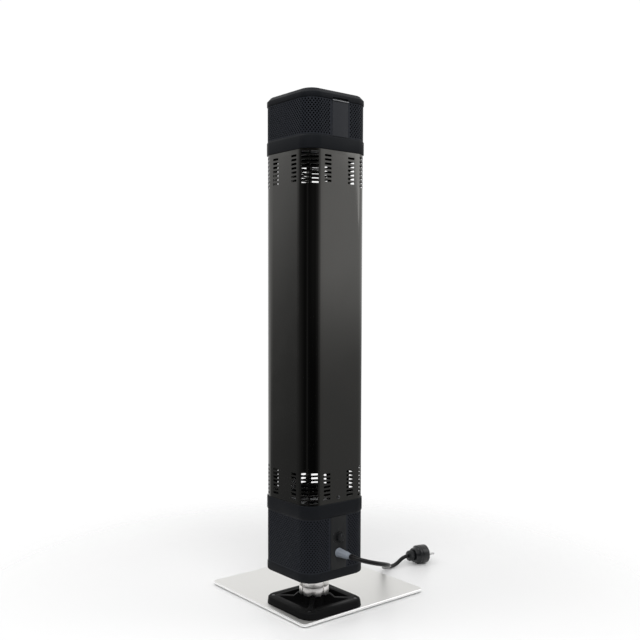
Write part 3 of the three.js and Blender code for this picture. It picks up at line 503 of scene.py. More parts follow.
def makeCord(settings):
    curve = bpy.data.curves.new("mains_cord_fine", "CURVE")
    curve.dimensions = "3D"
    curve.bevel_depth = settings["diameter"] / 2000
    curve.bevel_resolution = 5
    curve.use_fill_caps = True
    curve.resolution_u = 10
    spline = curve.splines.new("BEZIER")
    spline.bezier_points.add(len(settings["route"]) - 1)
    for knot, point in zip(spline.bezier_points, settings["route"]):
        knot.co = place(*point)
        knot.handle_left_type = knot.handle_right_type = "AUTO"
    cord = bpy.data.objects.new("mains_cord_fine", curve)
    scene.collection.objects.link(cord)
    curve.materials.append(finishes["cordRubber"])
    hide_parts("mains_cord")
    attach(cord, "heater")
    return cord


def makePlug(settings):
    x, y, z = settings["start"]
    c, s = math.cos(math.radians(settings["heading"])), math.sin(math.radians(settings["heading"]))

    def laid(points):
        return [(x + (px - x) * c - (py - y) * s, y + (px - x) * s + (py - y) * c, pz)
                for px, py, pz in points]

    grip, gripRadius, radius = settings["gripLength"], settings["gripRadius"], settings["radius"]
    rear = grip + settings["gap"]
    waist = rear + settings["dome"]
    front = waist + settings["length"]
    steps = settings["ribs"] * 4
    rows = [[gripRadius - 3.2, 0], [gripRadius - 1.2, 0.8], [gripRadius, 3.2],
            [gripRadius, grip - 1], [gripRadius - 1, grip]]
    points, faces = turnedMesh(rows, steps, (x, y, z), "x")
    ribbed = []
    for index, (px, py, pz) in enumerate(points):
        row, i = divmod(index, steps)
        shrink = settings["ribDepth"] if row in (2, 3) and i % 4 in (2, 3) else 1.0
        ribbed.append((px, y + (py - y) * shrink, z + (pz - z) * shrink))
    nut = addPiece("plug_grip_nut_fine", laid(ribbed), faces, "plugRubber", "black_rubber",
                   ["plug_grip_nut"])
    addBevel(nut, 0.25)

    dome = [[gripRadius - 2, rear - 0.1]]
    for k in range(9):
        turn = k / 8 * math.pi / 2
        swell = 5 * math.cos(turn) ** 1.5 if turn else 5
        dome.append([radius - swell, rear + settings["dome"] * math.sin(turn)])
    rows = dome + [
        [radius, waist + 4], [radius - 0.7, waist + 4.6], [radius - 0.7, waist + 6.4],
        [radius, waist + 7], [radius, front - 2], [radius - 0.6, front - 0.6], [radius - 2, front],
        [radius - 4.2, front], [radius - 4.4, front - 0.5], [radius - 5.2, front - 0.5],
        [radius - 5.4, front]]
    points, faces = turnedMesh(rows, 96, (x, y, z), "x")
    body = addPiece("plug_body_fine", laid(points), faces, "plugRubber", "black_rubber",
                    ["plug_body"])
    pins = []
    pinRadius, tip = settings["pinRadius"], front + settings["pinLength"]
    rows = [[pinRadius, front - 5.8], [pinRadius, tip - 2.2], [pinRadius * 0.86, tip - 0.9],
            [pinRadius * 0.45, tip]]
    for i, sign in enumerate((-1, 1)):
        points, faces = turnedMesh(rows, 24, (x, y + sign * settings["pinSpacing"] / 2, z), "x")
        pins.append(addPiece(f"plug_pin_{i + 1}_fine", laid(points), faces, "pinMetal", "pin_metal",
                             [f"plug_pin_{i + 1}"]))
    return [nut, body, *pins]


# Eight-sided gland with a collar at the face, flats that taper and a turned mouth.
glandSettings = {"level": 129.5, "root": 8.2, "mouth": 5.4, "length": 35, "flats": 8, "seat": 0.2,
                 "bootLength": 12, "bootRadius": 5.3, "bootTaper": 0.7, "bootBend": 0.014}


def makeGland(settings, faceY):
    level, length = settings["level"], settings["length"]
    steps = 48
    rows = [(5.7, -8.5, 0), (5.7, 0, 0), (9.0, 0, 0), (9.0, 1.6, 0), (8.4, 2.4, 0), (8.2, 3.0, 0.0),
            (settings["root"], 3.6, 1), (settings["mouth"] + 1.0, length - 7.5, 1),
            (settings["mouth"] + 0.3, length - 6.6, 0), (settings["mouth"], length - 6, 0),
            (settings["mouth"], length - 0.8, 0), (settings["mouth"] - 0.6, length, 0)]
    points = []
    sector = 2 * math.pi / settings["flats"]
    for radius, out, flats in rows:
        for i in range(steps):
            angle = 2 * math.pi * i / steps
            r = radius
            if flats:
                inSector = (angle + sector / 2) % sector - sector / 2
                r = radius * math.cos(sector / 2) / math.cos(inSector) * 1.03
            points.append((r * math.cos(angle), faceY - settings["seat"] - out,
                           level + r * math.sin(angle)))
    return addPiece("cable_gland_fine", points, ringFaces(len(rows), steps), "glandPlastic",
                    "gland_plastic", ["cable_gland"], angle=24)


# Short ribbed boot on the lead, just outside the gland.
def makeBoot(settings, faceY):
    start = faceY - settings["seat"] - settings["length"] - 0.3
    rows = []
    for k in range(13):
        ridge = 0.35 if k % 3 == 1 else 0.0
        radius = settings["bootRadius"] - settings["bootTaper"] * k / 12 + ridge
        rows.append([radius, settings["bootLength"] * k / 12])
    points, faces = turnedMesh(rows, 32, (0, start, settings["level"]), "-y")
    bent = [(x + settings["bootBend"] * max(0, start - 6 - y) ** 2, y, z) for x, y, z in points]
    return addPiece("cord_boot", bent, faces, "cordRubber", "black_rubber", ["mains_cord"],
                    angle=50)


stripFace = -74.9
cord = makeCord(cordSettings)
plugPieces = makePlug(plugSettings)
gland = makeGland(glandSettings, stripFace)
boot = makeBoot(glandSettings, stripFace)
print("lead laid")


columnSettings = {
    "bottom": 209.8, "top": 908.8, "wall": 1.2, "bendSteps": 14,
    "slot": (16.2, 4.2, 0.9), "pitch": 7.7, "rows": 7, "spread": 28.4, "cornerSpread": 9.3,
    "zones": (260.8, 857.8),
    "window": (82, 305.3, 813.3, 6.0), "screwLevel": 236.8, "screwHole": (4.2, 4.2, 2.05),
}


def makeColumn(settings):
    side = columnSide
    flat = side - 2 * cornerRadius
    arc = cornerRadius * math.pi / 2
    lap = flat + arc
    total = 4 * lap
    start = -flat / 2 - arc / 2  # the seam is in the middle of the near corner's arc
    holes = []

    def addHole(s, z, width, height, corner, steps):
        holes.append((s if s < start + total else s - total, z, width, height, corner, steps))

    def addSlots(middle, spread, zone, rows):
        for row in range(rows):
            for sign in (-1, 1):
                addHole(middle + sign * spread, zone + (row - (rows - 1) / 2) * settings["pitch"],
                        *settings["slot"], 2)

    for face in range(4):
        for zone in settings["zones"]:
            addSlots(face * lap, settings["spread"], zone, settings["rows"])
            addSlots(face * lap + lap / 2, settings["cornerSpread"], zone, settings["rows"] + 1)
    width, z0, z1, corner = settings["window"]
    for face in (1, 2):
        addHole(face * lap, (z0 + z1) / 2, width, z1 - z0, corner, 6)
    for face in (0, 2):
        addHole(face * lap, settings["screwLevel"], *settings["screwHole"], 4)

    points = [(start, settings["bottom"]), (start + total, settings["bottom"]),
              (start + total, settings["top"]), (start, settings["top"])]
    edges = [(0, 1), (1, 2), (2, 3), (3, 0)]
    for s, z, w, h, r, steps in holes:
        ring = roundedRectangle(s, z, w, h, r, steps)
        base = len(points)
        points += ring
        edges += [(base + i, base + (i + 1) % len(ring)) for i in range(len(ring))]
    # upright lines where the sheet bends
    for bend in range(-1, 4):
        for step in range(settings["bendSteps"] + 1):
            s = bend * lap + flat / 2 + arc * step / settings["bendSteps"]
            if start + 0.01 < s < start + total - 0.01:
                base = len(points)
                points += [(s, settings["bottom"]), (s, settings["top"])]
                edges.append((base, base + 1))
    triangulated = delaunay_2d_cdt([Vector(p) for p in points], edges, [], 0, 1e-5)
    flatPoints, faces = triangulated[0], triangulated[2]

    def inHole(s, z):
        for hs, hz, w, h, r, _ in holes:
            ds, dz = abs(s - hs) - (w / 2 - r), abs(z - hz) - (h / 2 - r)
            if ds <= r and dz <= r and math.hypot(max(ds, 0), max(dz, 0)) <= r * 0.999:
                return True
        return False

    kept = []
    for face in faces:
        s = sum(flatPoints[i][0] for i in face) / len(face)
        z = sum(flatPoints[i][1] for i in face) / len(face)
        if not inHole(s, z):
            kept.append(tuple(face))
    solid = []
    for s, z in flatPoints:
        solid.append((*outlinePoint(side, s), z))
    column = addPiece("column_shell_fine", solid, kept, "columnCoat", "column_steel",
                      ["column_shell"])
    thicken(column, settings["wall"])


makeColumn(columnSettings)
print("column made")


# The last three sizes are for the near-black sheet of painted shade behind the holes.
meshSettings = {"side": 148.3, "wall": 1.2, "gap": 19.35, "margin": 3.2, "pitch": 6.4, "row": 3.7,
                "hole": 1.8, "edge": 1.1, "shadeSheetGap": 0.2, "shadeSheetWall": 0.3, "shadeSheetSteps": 96}


def makeSleeve(name, z0, z1, settings):
    side = settings["side"]
    s0 = settings["gap"]
    s1 = outlineLength(side) - settings["gap"]
    first, last = s0 + settings["margin"], s1 - settings["margin"]
    columns = round((last - first) / settings["pitch"])
    step = (last - first) / columns
    rows = int((z1 - z0 - 2 * settings["edge"]) / settings["row"])
    bottom = (z0 + z1) / 2 - rows * settings["row"] / 2
    points, faces, index = [], [], {}

    def at(s, z):
        key = (round(s, 3), round(z, 3))
        if key not in index:
            index[key] = len(points)
            points.append((*outlinePoint(side, s), z))
        return index[key]

    halves = [first + k * step / 2 for k in range(2 * columns + 1)]
    for row in range(rows):
        low = bottom + row * settings["row"]
        high, middle = low + settings["row"], low + settings["row"] / 2
        shift = row % 2
        for column in range(columns - shift):
            left = halves[2 * column + shift]
            centre, right = left + step / 2, left + step
            outer = [at(right, high), at(centre, high), at(left, high),
                     at(left, low), at(centre, low), at(right, low)]
            hole = [at(centre + settings["hole"] * math.cos(math.radians(a)),
                       middle + settings["hole"] * math.sin(math.radians(a)))
                    for a in range(30, 390, 30)]
            for k in range(6):
                faces.append((outer[k], outer[(k + 1) % 6],
                              hole[(2 * k + 2) % 12], hole[2 * k + 1], hole[2 * k]))
        if shift:
            for a, b in ((halves[0], halves[1]), (halves[-2], halves[-1])):
                faces.append((at(a, low), at(b, low), at(b, high), at(a, high)))
        for a, b in ((s0, halves[0]), (halves[-1], s1)):
            faces.append((at(a, low), at(b, low), at(b, high), at(a, high)))
    top = bottom + rows * settings["row"]
    for a, b in zip([s0, *halves], [*halves, s1]):
        faces.append((at(a, z0), at(b, z0), at(b, bottom), at(a, bottom)))
        faces.append((at(a, top), at(b, top), at(b, z1), at(a, z1)))
    sleeve = addPiece(name + "_fine", points, faces, "meshCoat", "black_mesh", [name], merge=False)
    thicken(sleeve, settings["wall"])

    # painted shade: a near-black sheet right behind the holes stands for the dark inside, so no
    # light comes through the sleeve
    points, faces = [], []
    steps, gap = settings["shadeSheetSteps"], settings["shadeSheetGap"]
    shadeSheetSide = side - 2 * settings["wall"] - gap
    s1 = outlineLength(shadeSheetSide) - s0
    for k in range(steps + 1):
        x, y = outlinePoint(shadeSheetSide, s0 + (s1 - s0) * k / steps)
        points += [(x, y, z0 + gap), (x, y, z1 - gap)]
        if k:
            faces.append((2 * k - 2, 2 * k, 2 * k + 1, 2 * k - 1))
    sheet = addPiece(name + "_painted_shade_sheet", points, faces, "paintedShadeBlack", "black_mesh", [name])
    thicken(sheet, settings["shadeSheetWall"])


makeSleeve("lower_grille", 97.2, 199.6, meshSettings)
makeSleeve("upper_grille", 918.0, 984.2, meshSettings)
print("sleeves perforated")


# Each pair is a height and a side. The lip's heights go from the end at the column; those of the
# sloping rim and the tongue that enters the sleeve go from the other end.
collarSettings = {
    "lip": [(0.0, 148.6), (0.15, 150.6), (0.5, 151.2), (1.0, 151.5)],
    "rim": [(-3.4, 151.5), (-3.0, 151.3), (-0.25, 148.7), (0, 148.3), (0, 145.2), (5.9, 145.2)],
    "inside": 130,
}


def makeCollar(name, z0, z1, grilleEnd, settings):
    base, up = (z0, 1) if grilleEnd == "top" else (z1, -1)
    tongue, inside = settings["rim"][-1][0], settings["inside"]
    rows = settings["lip"] + [(z1 - z0 + height, side) for height, side in settings["rim"]]
    rows += [(z1 - z0 + tongue, inside), (0.0, inside)]
    rows = [[base + up * height, side] for height, side in rows]
    addPiece(name + "_fine", *towerLoft(rows, loop=True), "housingPlastic", "black_plastic", [name],
             angle=28)


capSettings = {"bottom": 78.6, "underside": 120, "side": 150.6, "round": 3.6, "flat": 82.6,
               "lip": 93.4, "top": 97.0, "tongue": (103, 145.2), "inside": 138.8,
               "boss": (20.35, 30, 82, 102.6), "posts": (82, 206.2)}
postSettings = {"radius": 5, "off": 50}


def addPosts(node, prefix, z0, z1):
    radius, off = postSettings["radius"], postSettings["off"]
    for sx in (-1, 1):
        for sy in (-1, 1):
            addPiece(f"{prefix}_post_{'ab'[sx > 0]}{'ab'[sy > 0]}",
                     *turnedMesh([[radius, z0], [radius, z1]], 16, (sx * off, sy * off, 0)),
                     "innerPlastic", "black_plastic", [node])


def makeCap(settings):
    bottom, side, inside = settings["bottom"], settings["side"], settings["inside"]
    lip, top, (tongue, tongueSide) = settings["lip"], settings["top"], settings["tongue"]
    rounding = settings["round"]
    rows = [[bottom, settings["underside"]]]
    rows += arcRows(bottom, bottom + rounding, side, rounding, False, 6)
    rows += [[lip, side], [lip + 0.5, side - 0.2], [top - 0.4, side - 2], [top, side - 2.6],
             [top, tongueSide], [tongue, tongueSide], [tongue, inside], [settings["flat"], inside]]
    addPiece("bottom_cap_fine", *towerLoft(rows), "housingPlastic", "black_plastic", ["bottom_cap"],
             angle=28)
    addPosts("bottom_cap", "cap", *settings["posts"])
    inner, outer, z0, z1 = settings["boss"]
    rows = [[inner, z0], [outer, z0], [outer, z1], [inner, z1]]
    addPiece("cap_boss", *turnedMesh(rows, loop=True), "innerPlastic", "black_plastic",
             ["bottom_cap"])


lidSettings = {"bottom": 984.4, "side": 151, "top": 1003.2, "band": 9.8, "slope": 7.4,
               "recess": (38, 4.3, 3.0), "tongue": (978.8, 145.2, 138.8), "posts": (916, 985)}


def makeLid(settings):
    z0, top, side = settings["bottom"], settings["top"], settings["side"]
    foot = z0 + settings["band"]
    crest = foot + settings["slope"]
    rows = [[z0, side - 1.4], [z0 + 0.3, side - 0.6], [z0 + 0.9, side], [foot - 0.9, side],
            [foot - 0.3, side - 0.35], [foot + 0.4, side - 1.7], [crest - 0.5, side - 14.0],
            [crest, side - 15.4], [crest + 0.4, side - 17.2], [crest + 0.6, side - 19],
            [top - 0.8, side - 21], [top - 0.3, side - 23], [top, side - 27]]
    lid = addPiece("lid_fine", *towerLoft(rows), "housingPlastic", "black_plastic", ["lid"],
                   angle=28)
    width, height, depth = settings["recess"]
    box = (-width / 2, width / 2, -side, -side / 2 + depth, z0 - 1, z0 + height)
    cutter = addBlock("recessTool", box)
    cut = lid.modifiers.new("recess", "BOOLEAN")
    cut.object = cutter
    cut.operation = "DIFFERENCE"
    applyModifiers(lid, 28)
    bpy.data.objects.remove(cutter)
    tongue, outside, inside = settings["tongue"]
    rows = [[tongue, outside], [z0 + 1, outside], [z0 + 1, inside], [tongue, inside]]
    addPiece("lid_tongue", *towerLoft(rows, loop=True), "innerPlastic", "black_plastic", ["lid"])
    addPosts("lid", "lid", *settings["posts"])


def addBlock(name, box):
    x0, x1, y0, y1, z0, z1 = box
    corners = [(x, y, z) for x in (x0, x1) for y in (y0, y1) for z in (z0, z1)]
    faces = [(0, 1, 3, 2), (4, 6, 7, 5), (0, 4, 5, 1), (2, 3, 7, 6), (0, 2, 6, 4), (1, 5, 7, 3)]
    mesh = bpy.data.meshes.new(name)
    mesh.from_pydata([place(*p) for p in corners], [], faces)
    tool = bpy.data.objects.new(name, mesh)
    scene.collection.objects.link(tool)
    return tool


makeCollar("lower_collar", 199.8, 226.8, "bottom", collarSettings)
makeCollar("upper_collar", 891.8, 917.8, "top", collarSettings)
makeCap(capSettings)
makeLid(lidSettings)
print("housings made")


# Boxes are x, y and z from and to; the pointer's z goes from the knob's middle.
controlSettings = {"level": 160, "dialRadius": 12.4, "ticks": (0, 60, 120),
                   "tick": (0.45, 0.9, 0.12), "tickReach": 2.6,
                   "lip": (-19.6, 19.6, -76.45, -75.9, 982.7, 984.0),
                   "pointer": (-0.5, 0.5, -84.0, -83.5, 2.6, 7.4)}


def addBox(name, box, finish, slotName, bevel, replaced, body="heater"):
    block = addBlock(name + "Block", box)
    mesh = block.data
    bpy.data.objects.remove(block)
    addBevel(finishPiece(name, mesh, finish, slotName, replaced, body), bevel)


def makeControlFace(settings):
    dressed("control_strip", "controlPlastic", "slate_plastic", 0.35)
    dressed("upper_strip", "stripPlastic", "slate_plastic", 0.35)
    # the lip's light grey is a painted highlight along the strip's top edge
    addBox("upper_strip_lip", settings["lip"], "lipHighlightGrey", "slate_plastic", 0.2, ["upper_strip"])
    dressed("switch_knob", "knobPlastic", "black_plastic", 0.35, body="knob", angle=40)
    level, radius = settings["level"], settings["dialRadius"]
    *across, low, high = settings["pointer"]
    addBox("knob_pointer", (*across, level + low, level + high), "markGrey", "slate_plastic", 0.1,
           ["switch_knob"], "knob")
    rows = [[radius - 1.3, 0], [radius - 0.9, 0.45], [radius, 0.45], [radius + 0.5, 0]]
    addPiece("dial_ring", *turnedMesh(rows, 64, (0, stripFace, level), "-y", loop=True),
             "knobPlastic", "slate_plastic", ["control_strip"])
    width, height, proud = settings["tick"]
    for i, tick in enumerate(settings["ticks"]):
        angle = math.radians(90 + tick)  # the knob turns to the left, seen from the front
        reach = radius + settings["tickReach"]
        x, z = reach * math.cos(angle), level + reach * math.sin(angle)
        box = (x - width, x + width, stripFace - proud, stripFace + 0.05, z - height, z + height)
        addBox(f"dial_tick_{i}", box, "markGrey", "slate_plastic", 0.03, ["control_strip"])


makeControlFace(controlSettings)
print("control face dressed")


plateSettings = {"side": 320, "middle": (74, 83.5), "bottom": 2.2, "top": 8.2, "corner": 10,
                 "edge": 1.6}


def makePlate(settings):
    z0, z1, side, edge = settings["bottom"], settings["top"], settings["side"], settings["edge"]
    rows = arcRows(z0, z0 + edge, side, edge, False) + arcRows(z1 - edge, z1, side, edge, True)
    rows = [[z, s, settings["corner"] - (side - s) / 2] for z, s in rows]
    addPiece("base_plate_fine", *towerLoft(rows, steps=10, middle=settings["middle"]), "plateSteel",
             "polished_plate", ["base_plate"], angle=40)


makePlate(plateSettings)
dressed("pedestal", "pedestalPlastic", "black_plastic", 0.9, 3, angle=35)
for i in range(4):
    dressed(f"pedestal_screw_{i + 1}", "darkScrew", "zinc_steel", 0.25)
    paintNode(f"rubber_pad_{i + 1}", "padRubber")


ringSettings = {"inner": 20.35, "outer": 29.4, "grooveWidth": 3.0, "grooveDepth": 3.5, "grooves": 4,
                "scallops": 8, "scallopRadius": 6.0, "scallopDepth": 3.8, "steps": 288}


def makeRing(name, z0, z1, settings, scalloped, body):
    steps, inner, outer = settings["steps"], settings["inner"], settings["outer"]
    points = []
    for i in range(steps):
        angle = 2 * math.pi * i / steps
        quarter = 2 * math.pi / settings["grooves"]
        across = abs((angle + quarter / 2) % quarter - quarter / 2) * outer
        inside = (settings["grooveWidth"] / 2 + 0.3 - across) / 0.6
        depth = settings["grooveDepth"] * min(1, max(0, inside))
        r = outer - depth
        wave = 0.0
        if scalloped:
            part = 2 * math.pi / settings["scallops"]
            aside = outer * math.sin((angle + part / 2) % part - part / 2)
            rise = max(0, settings["scallopRadius"] ** 2 - aside ** 2) ** 0.5
            wave = max(0, rise - settings["scallopRadius"] + settings["scallopDepth"])
        low = z0 + wave
        rows = [(inner, low), (r - 0.7, low), (r - 0.2, low + 0.2), (r, low + 0.7),
                (r, z1 - 0.7), (r - 0.2, z1 - 0.2), (r - 0.7, z1), (inner, z1)]
        points += [(a * math.cos(angle), a * math.sin(angle), z) for a, z in rows]
    addPiece(name + "_fine", points, ringFaces(steps, len(rows), loop=True), "couplingMetal",
             "silver_coupling", [name], body, angle=40)


makeRing("lock_ring", 30.6, 48.3, ringSettings, True, "ring")
makeRing("coupling_ring", 48.7, 78.4, ringSettings, False, "heater")
dressed("spigot_tube", "spigotSteel", "spigot_steel", 0.3, angle=40)
dressed("spigot_nut", "zincPlate", "zinc_steel", 0.6)
print("base and coupling made")


heaterSettings = {"frameOut": 72.2, "mouth": 70.0, "half": 38, "depth": 38, "lampX": 51.0,
                  "window": (305.3, 813.3), "windowWidth": 82, "wirePitch": 22, "wire": 0.95,
                  "coilRadius": 2.6, "coilTurns": 62, "coilSteps": 12, "coilWire": 0.45,
                  "flange": 5, "lap": 1.9, "sheet": 0.9, "tube": (5.5, 4.4), "tubeInset": 12.6,
                  "ceramic": [(3.5, -7.4), (3.5, 0.1), (7.3, 0.1), (8, 0.8), (8, 3.4), (7.2, 4.0),
                              (7.2, 4.8), (8, 5.4), (8, 11.5), (7.5, 13), (6.4, 13.8)]}


def addTube(points, faces, path, radius, steps=8):
    base = len(points)
    for k, p in enumerate(path):
        ahead = path[min(k + 1, len(path) - 1)]
        behind = path[max(k - 1, 0)]
        along = (Vector(ahead) - Vector(behind)).normalized()
        aside = Vector((0, 0, 1)) if abs(along.z) < 0.9 else Vector((1, 0, 0))
        sideways = along.cross(aside).normalized()
        upward = sideways.cross(along)
        for i in range(steps):
            angle = 2 * math.pi * i / steps
            offset = sideways * math.cos(angle) + upward * math.sin(angle)
            points.append(tuple(Vector(p) + radius * offset))
    faces += ringFaces(len(path), steps, base=base)


def makeHeatingUnit(side, settings):
    z0, z1 = settings["window"]
    half, depth, mouth = settings["half"], settings["depth"], settings["mouth"]

    def at(x, y, z):
        return (x, y, z) if side == "left" else (-y, x, z)

    # reflector: one bent sheet with folded flanges
    flange, lap = settings["flange"], settings["lap"]
    section = [(mouth, -(half + flange))]
    for k in range(25):
        t = k / 12 - 1
        section.append((mouth - depth * (1 - t * t), half * t))
    section.append((mouth, half + flange))
    points, faces = [], []
    for x, y in section:
        points += [at(x, y, z0 - lap), at(x, y, z1 + lap)]
    for k in range(len(section) - 1):
        faces.append((2 * k, 2 * k + 1, 2 * k + 3, 2 * k + 2))
    trough = addPiece(f"reflector_{side}_fine", points, faces, "mirrorSheet", "mirror_aluminium",
                      [f"reflector_{side}"])
    thicken(trough, -settings["sheet"])

    # guard: frame, level wires and one upright
    middle = (z0 + z1) / 2
    wireX = settings["frameOut"] - 1.0
    points, faces = [], []
    reach = settings["windowWidth"] / 2 + 2
    count = int((z1 - z0) / settings["wirePitch"]) - 1
    for k in range(count):
        z = middle + (k - (count - 1) / 2) * settings["wirePitch"]
        addTube(points, faces, [at(wireX, -reach, z), at(wireX, reach, z)], settings["wire"], 10)
    addTube(points, faces, [at(wireX, 0, z0 - 2), at(wireX, 0, z1 + 2)], settings["wire"], 10)
    outerRing = roundedRectangle(0, middle, settings["windowWidth"] + 10, z1 - z0 + 10, 6, 5)
    innerRing = roundedRectangle(0, middle, settings["windowWidth"] - 2, z1 - z0 - 2, 6, 5)
    base = len(points)
    for ring, x in ((outerRing, settings["frameOut"]), (innerRing, settings["frameOut"]),
                    (innerRing, settings["frameOut"] - 2), (outerRing, settings["frameOut"] - 2)):
        points += [at(x, y, z) for y, z in ring]
    faces += ringFaces(4, len(outerRing), True, base)
    addPiece(f"guard_{side}_fine", points, faces, "guardCoat", "guard_wire", [f"guard_{side}"],
             merge=False)

    # lamp: quartz tube with a coiled filament inside
    x = settings["lampX"]
    low, high = z0 + settings["tubeInset"], z1 - settings["tubeInset"]
    outer, inner = settings["tube"]
    axis = (*at(x, 0, 0)[:2], 0)
    rows = [[outer, low], [outer, high], [inner, high], [inner, low]]
    addPiece(f"lamp_{side}_fine", *turnedMesh(rows, 32, axis, loop=True), "quartzTube",
             "quartz_glass", [f"lamp_{side}"])
    path = []
    turns, steps, radius = settings["coilTurns"], settings["coilSteps"], settings["coilRadius"]
    for k in range(turns * steps + 1):
        angle = 2 * math.pi * k / steps
        path.append(at(x + radius * math.cos(angle), radius * math.sin(angle),
                       low + 2 + (high - low - 4) * k / (turns * steps)))
    points, faces = [], []
    addTube(points, faces, path, settings["coilWire"], 5)
    addPiece(f"filament_{side}", points, faces, "filament", "zinc_steel", [f"lamp_{side}"],
             angle=60, merge=False)

    for end, level, up in (("bottom", z0 - 2 + 0.2, 1), ("top", z1 + 2 - 0.2, -1)):
        rows = [[r, level + up * h] for r, h in settings["ceramic"]]
        addPiece(f"lamp_cap_{end}_{side}_fine", *turnedMesh(rows, 32, axis), "ceramicBody",
                 "ceramic_white", [f"lamp_cap_{end}_{side}"])
        dressed(f"lamp_holder_{end}_{side}", "zincPlate", "zinc_steel", 0.2)


makeHeatingUnit("left", heaterSettings)
makeHeatingUnit("right", heaterSettings)
print("heating units made")


for i in range(2):
    dressed(f"column_screw_{i + 1}", "darkScrew", "zinc_steel", 0.3)
dressed("gland_nut", "glandPlastic", "gland_plastic", 0.4)
dressed("tilt_pendulum", "zincPlate", "zinc_steel", 0.4, body="tilt_weight")
for node, finish in {
    "tilt_switch_bracket": "zincPlate", "terminal_block": "ceramicBody",
    "rotary_switch": "innerPlastic", "lower_bulkhead": "zincPlate", "upper_bulkhead": "zincPlate",
}.items():
    paintNode(node, finish)
print("inner pieces painted")


# Brightness of the room, as reflections see it. "round" goes by degrees to the right of the
# camera's direction; "rightWall" and "leftWall" go by how steeply one looks up.
studio = {
    "floorColor": 0.69, "floorReach": 3.0, "fadeStart": 0.35, "fadeEnd": 0.95, "white": 1.02,
    "round": [(-180, 1.0), (-103.6, 1.0), (-102.7, 0.9), (-101, 0.75), (-92, 0.6), (-75, 0.45),
              (-52, 0.2), (-38, 0.16), (-29, 0.6), (-20, 0.16), (0, 0.07), (30, 0.05), (50, 0.15),
              (66, 0.42), (75, 0.92), (79, 1.0), (180, 1.0)],
    "rightWall": [(-0.25, 0.29), (-0.123, 0.32), (-0.064, 0.40), (-0.03, 0.6), (-0.005, 0.8),
                  (0.03, 0.96), (0.06, 1.0), (0.11, 1.0), (0.15, 0.88)],
    "leftWall": [(-0.25, 0.16), (-0.18, 0.17), (-0.123, 0.2), (-0.064, 0.235), (-0.02, 0.27),
                 (0.01, 0.37), (0.054, 0.48), (0.10, 0.6), (0.137, 0.78), (0.2, 0.9)],
    "leftTilt": 1.9,
    "overhead": 0.97, "wallReach": 0.25, "wallSlant": 104,
}
lights = [
    # name, position, aimed at, size, power, seen in reflections
    ("softKey", (-1.6, 0.6, 2.6), (0, 0, 0.4), 1.6, 14, True),
    ("softFill", (1.8, -1.4, 1.6), (0, 0, 0.4), 1.4, 6, True),
    ("frontFill", (-1.1, -1.3, 1.7), (0, 0, 0.5), 2.2, 45, False),
]


def makeFloor(settings):
    mesh = bpy.data.meshes.new("floor")
    reach, level = settings["floorReach"], -0.0002
    mesh.from_pydata([(-reach, -reach, level), (reach, -reach, level), (reach, reach, level),
                      (-reach, reach, level)], [], [(0, 1, 2, 3)])
    floor = bpy.data.objects.new("floor", mesh)
    scene.collection.objects.link(floor)
    material, tree, shader = newMaterial("floorPaint")
    distance = addNode(tree, "ShaderNodeVectorMath", {0: objectCoordinates(tree)},
                       operation="LENGTH").outputs["Value"]
    feed(tree, shader, {
        "Base Color": (*[settings["floorColor"]] * 3, 1), "Roughness": 0.35,
        "Specular IOR Level": 0.3,
        "Alpha": remap(tree, distance, settings["fadeStart"], settings["fadeEnd"], 1, 0, True)})
    mesh.materials.append(material)


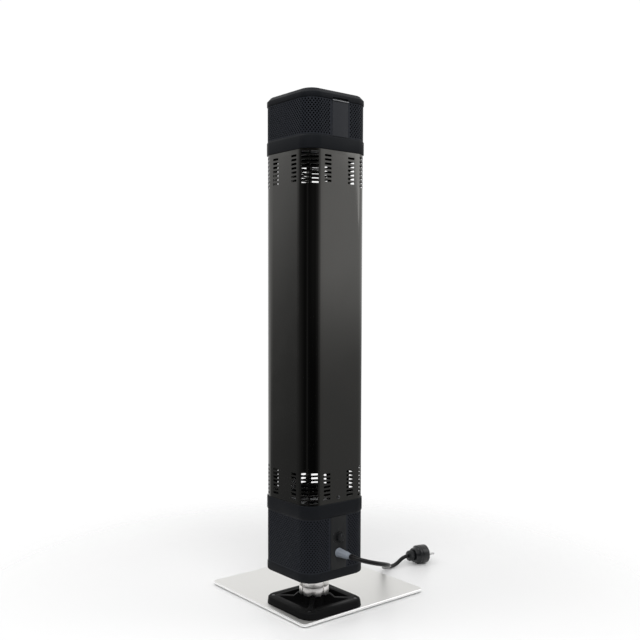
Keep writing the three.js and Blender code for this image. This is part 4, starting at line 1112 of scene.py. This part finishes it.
# White to the camera. Reflections see walls, bright or dark by direction, and a bright ceiling.
def makeWorld(settings):
    world = bpy.data.worlds.new("studioRoom")
    scene.world = world
    world.use_nodes = True
    tree = world.node_tree
    tree.nodes.clear()
    where = objectCoordinates(tree, "Generated")

    def dotWith(direction):
        return combineVectors(tree, "DOT_PRODUCT", where, direction, "Value")

    def ramp(value, stops, low, high):
        node = addNode(tree, "ShaderNodeValToRGB", {"Fac": remap(tree, value, low, high)})
        elements = node.color_ramp.elements
        while len(elements) < len(stops):
            elements.new(0.5)
        for element, (position, level) in zip(elements, stops):
            element.position = (position - low) / (high - low)
            element.color = (level, level, level, 1)
        return node.outputs["Color"]

    heading = math.radians(cameraSettings["heading"])
    right = dotWith((math.cos(heading), -math.sin(heading), 0))
    towards = dotWith((-math.sin(heading), -math.cos(heading), 0))
    bearing = combine(tree, "ARCTAN2", right, towards)
    around = ramp(combine(tree, "MULTIPLY", bearing, math.degrees(1)), settings["round"], -180, 180)

    # the left wall's shade falls off along a slant
    up = dotWith((0, 0, 1))
    slant = math.radians(settings["wallSlant"]) + math.pi / 2
    across = [math.cos(slant) * -math.sin(heading) - math.sin(slant) * math.cos(heading),
              math.cos(slant) * -math.cos(heading) + math.sin(slant) * math.sin(heading)]
    slanted = dotWith((across[0] * settings["leftTilt"], across[1] * settings["leftTilt"], 1))
    reach = settings["wallReach"]
    wall = addNode(tree, "ShaderNodeMix", {
        "Factor": remap(tree, right, -0.4, 0.4, smooth=True),
        2: ramp(slanted, settings["leftWall"], -reach, reach),
        3: ramp(up, settings["rightWall"], -reach, reach)}, data_type="FLOAT")
    walls = combine(tree, "MULTIPLY", around, wall.outputs[0])
    above = remap(tree, up, 0.3, 0.7, smooth=True)
    ceiling = combine(tree, "MULTIPLY", above, settings["overhead"])
    brightness = combine(tree, "MAXIMUM", walls, ceiling)

    room = addNode(tree, "ShaderNodeBackground", {"Color": brightness})
    white = addNode(tree, "ShaderNodeBackground",
                    {"Color": (1, 1, 1, 1), "Strength": settings["white"]})
    seen = addNode(tree, "ShaderNodeLightPath").outputs["Is Camera Ray"]
    mix = addNode(tree, "ShaderNodeMixShader",
                  {"Fac": seen, 1: room.outputs[0], 2: white.outputs[0]})
    addNode(tree, "ShaderNodeOutputWorld", {"Surface": mix.outputs[0]})


def makeLight(name, position, target, size, power, glossy):
    data = bpy.data.lights.new(name, "AREA")
    data.shape = "DISK"
    data.size = size
    data.energy = power
    light = bpy.data.objects.new(name, data)
    scene.collection.objects.link(light)
    light.location = position
    light.rotation_euler = (Vector(target) - Vector(position)).to_track_quat("-Z", "Y").to_euler()
    light.visible_glossy = glossy


makeFloor(studio)
makeWorld(studio)
for light in lights:
    makeLight(*light)
scene.view_settings.view_transform = "Standard"
print("studio lit")
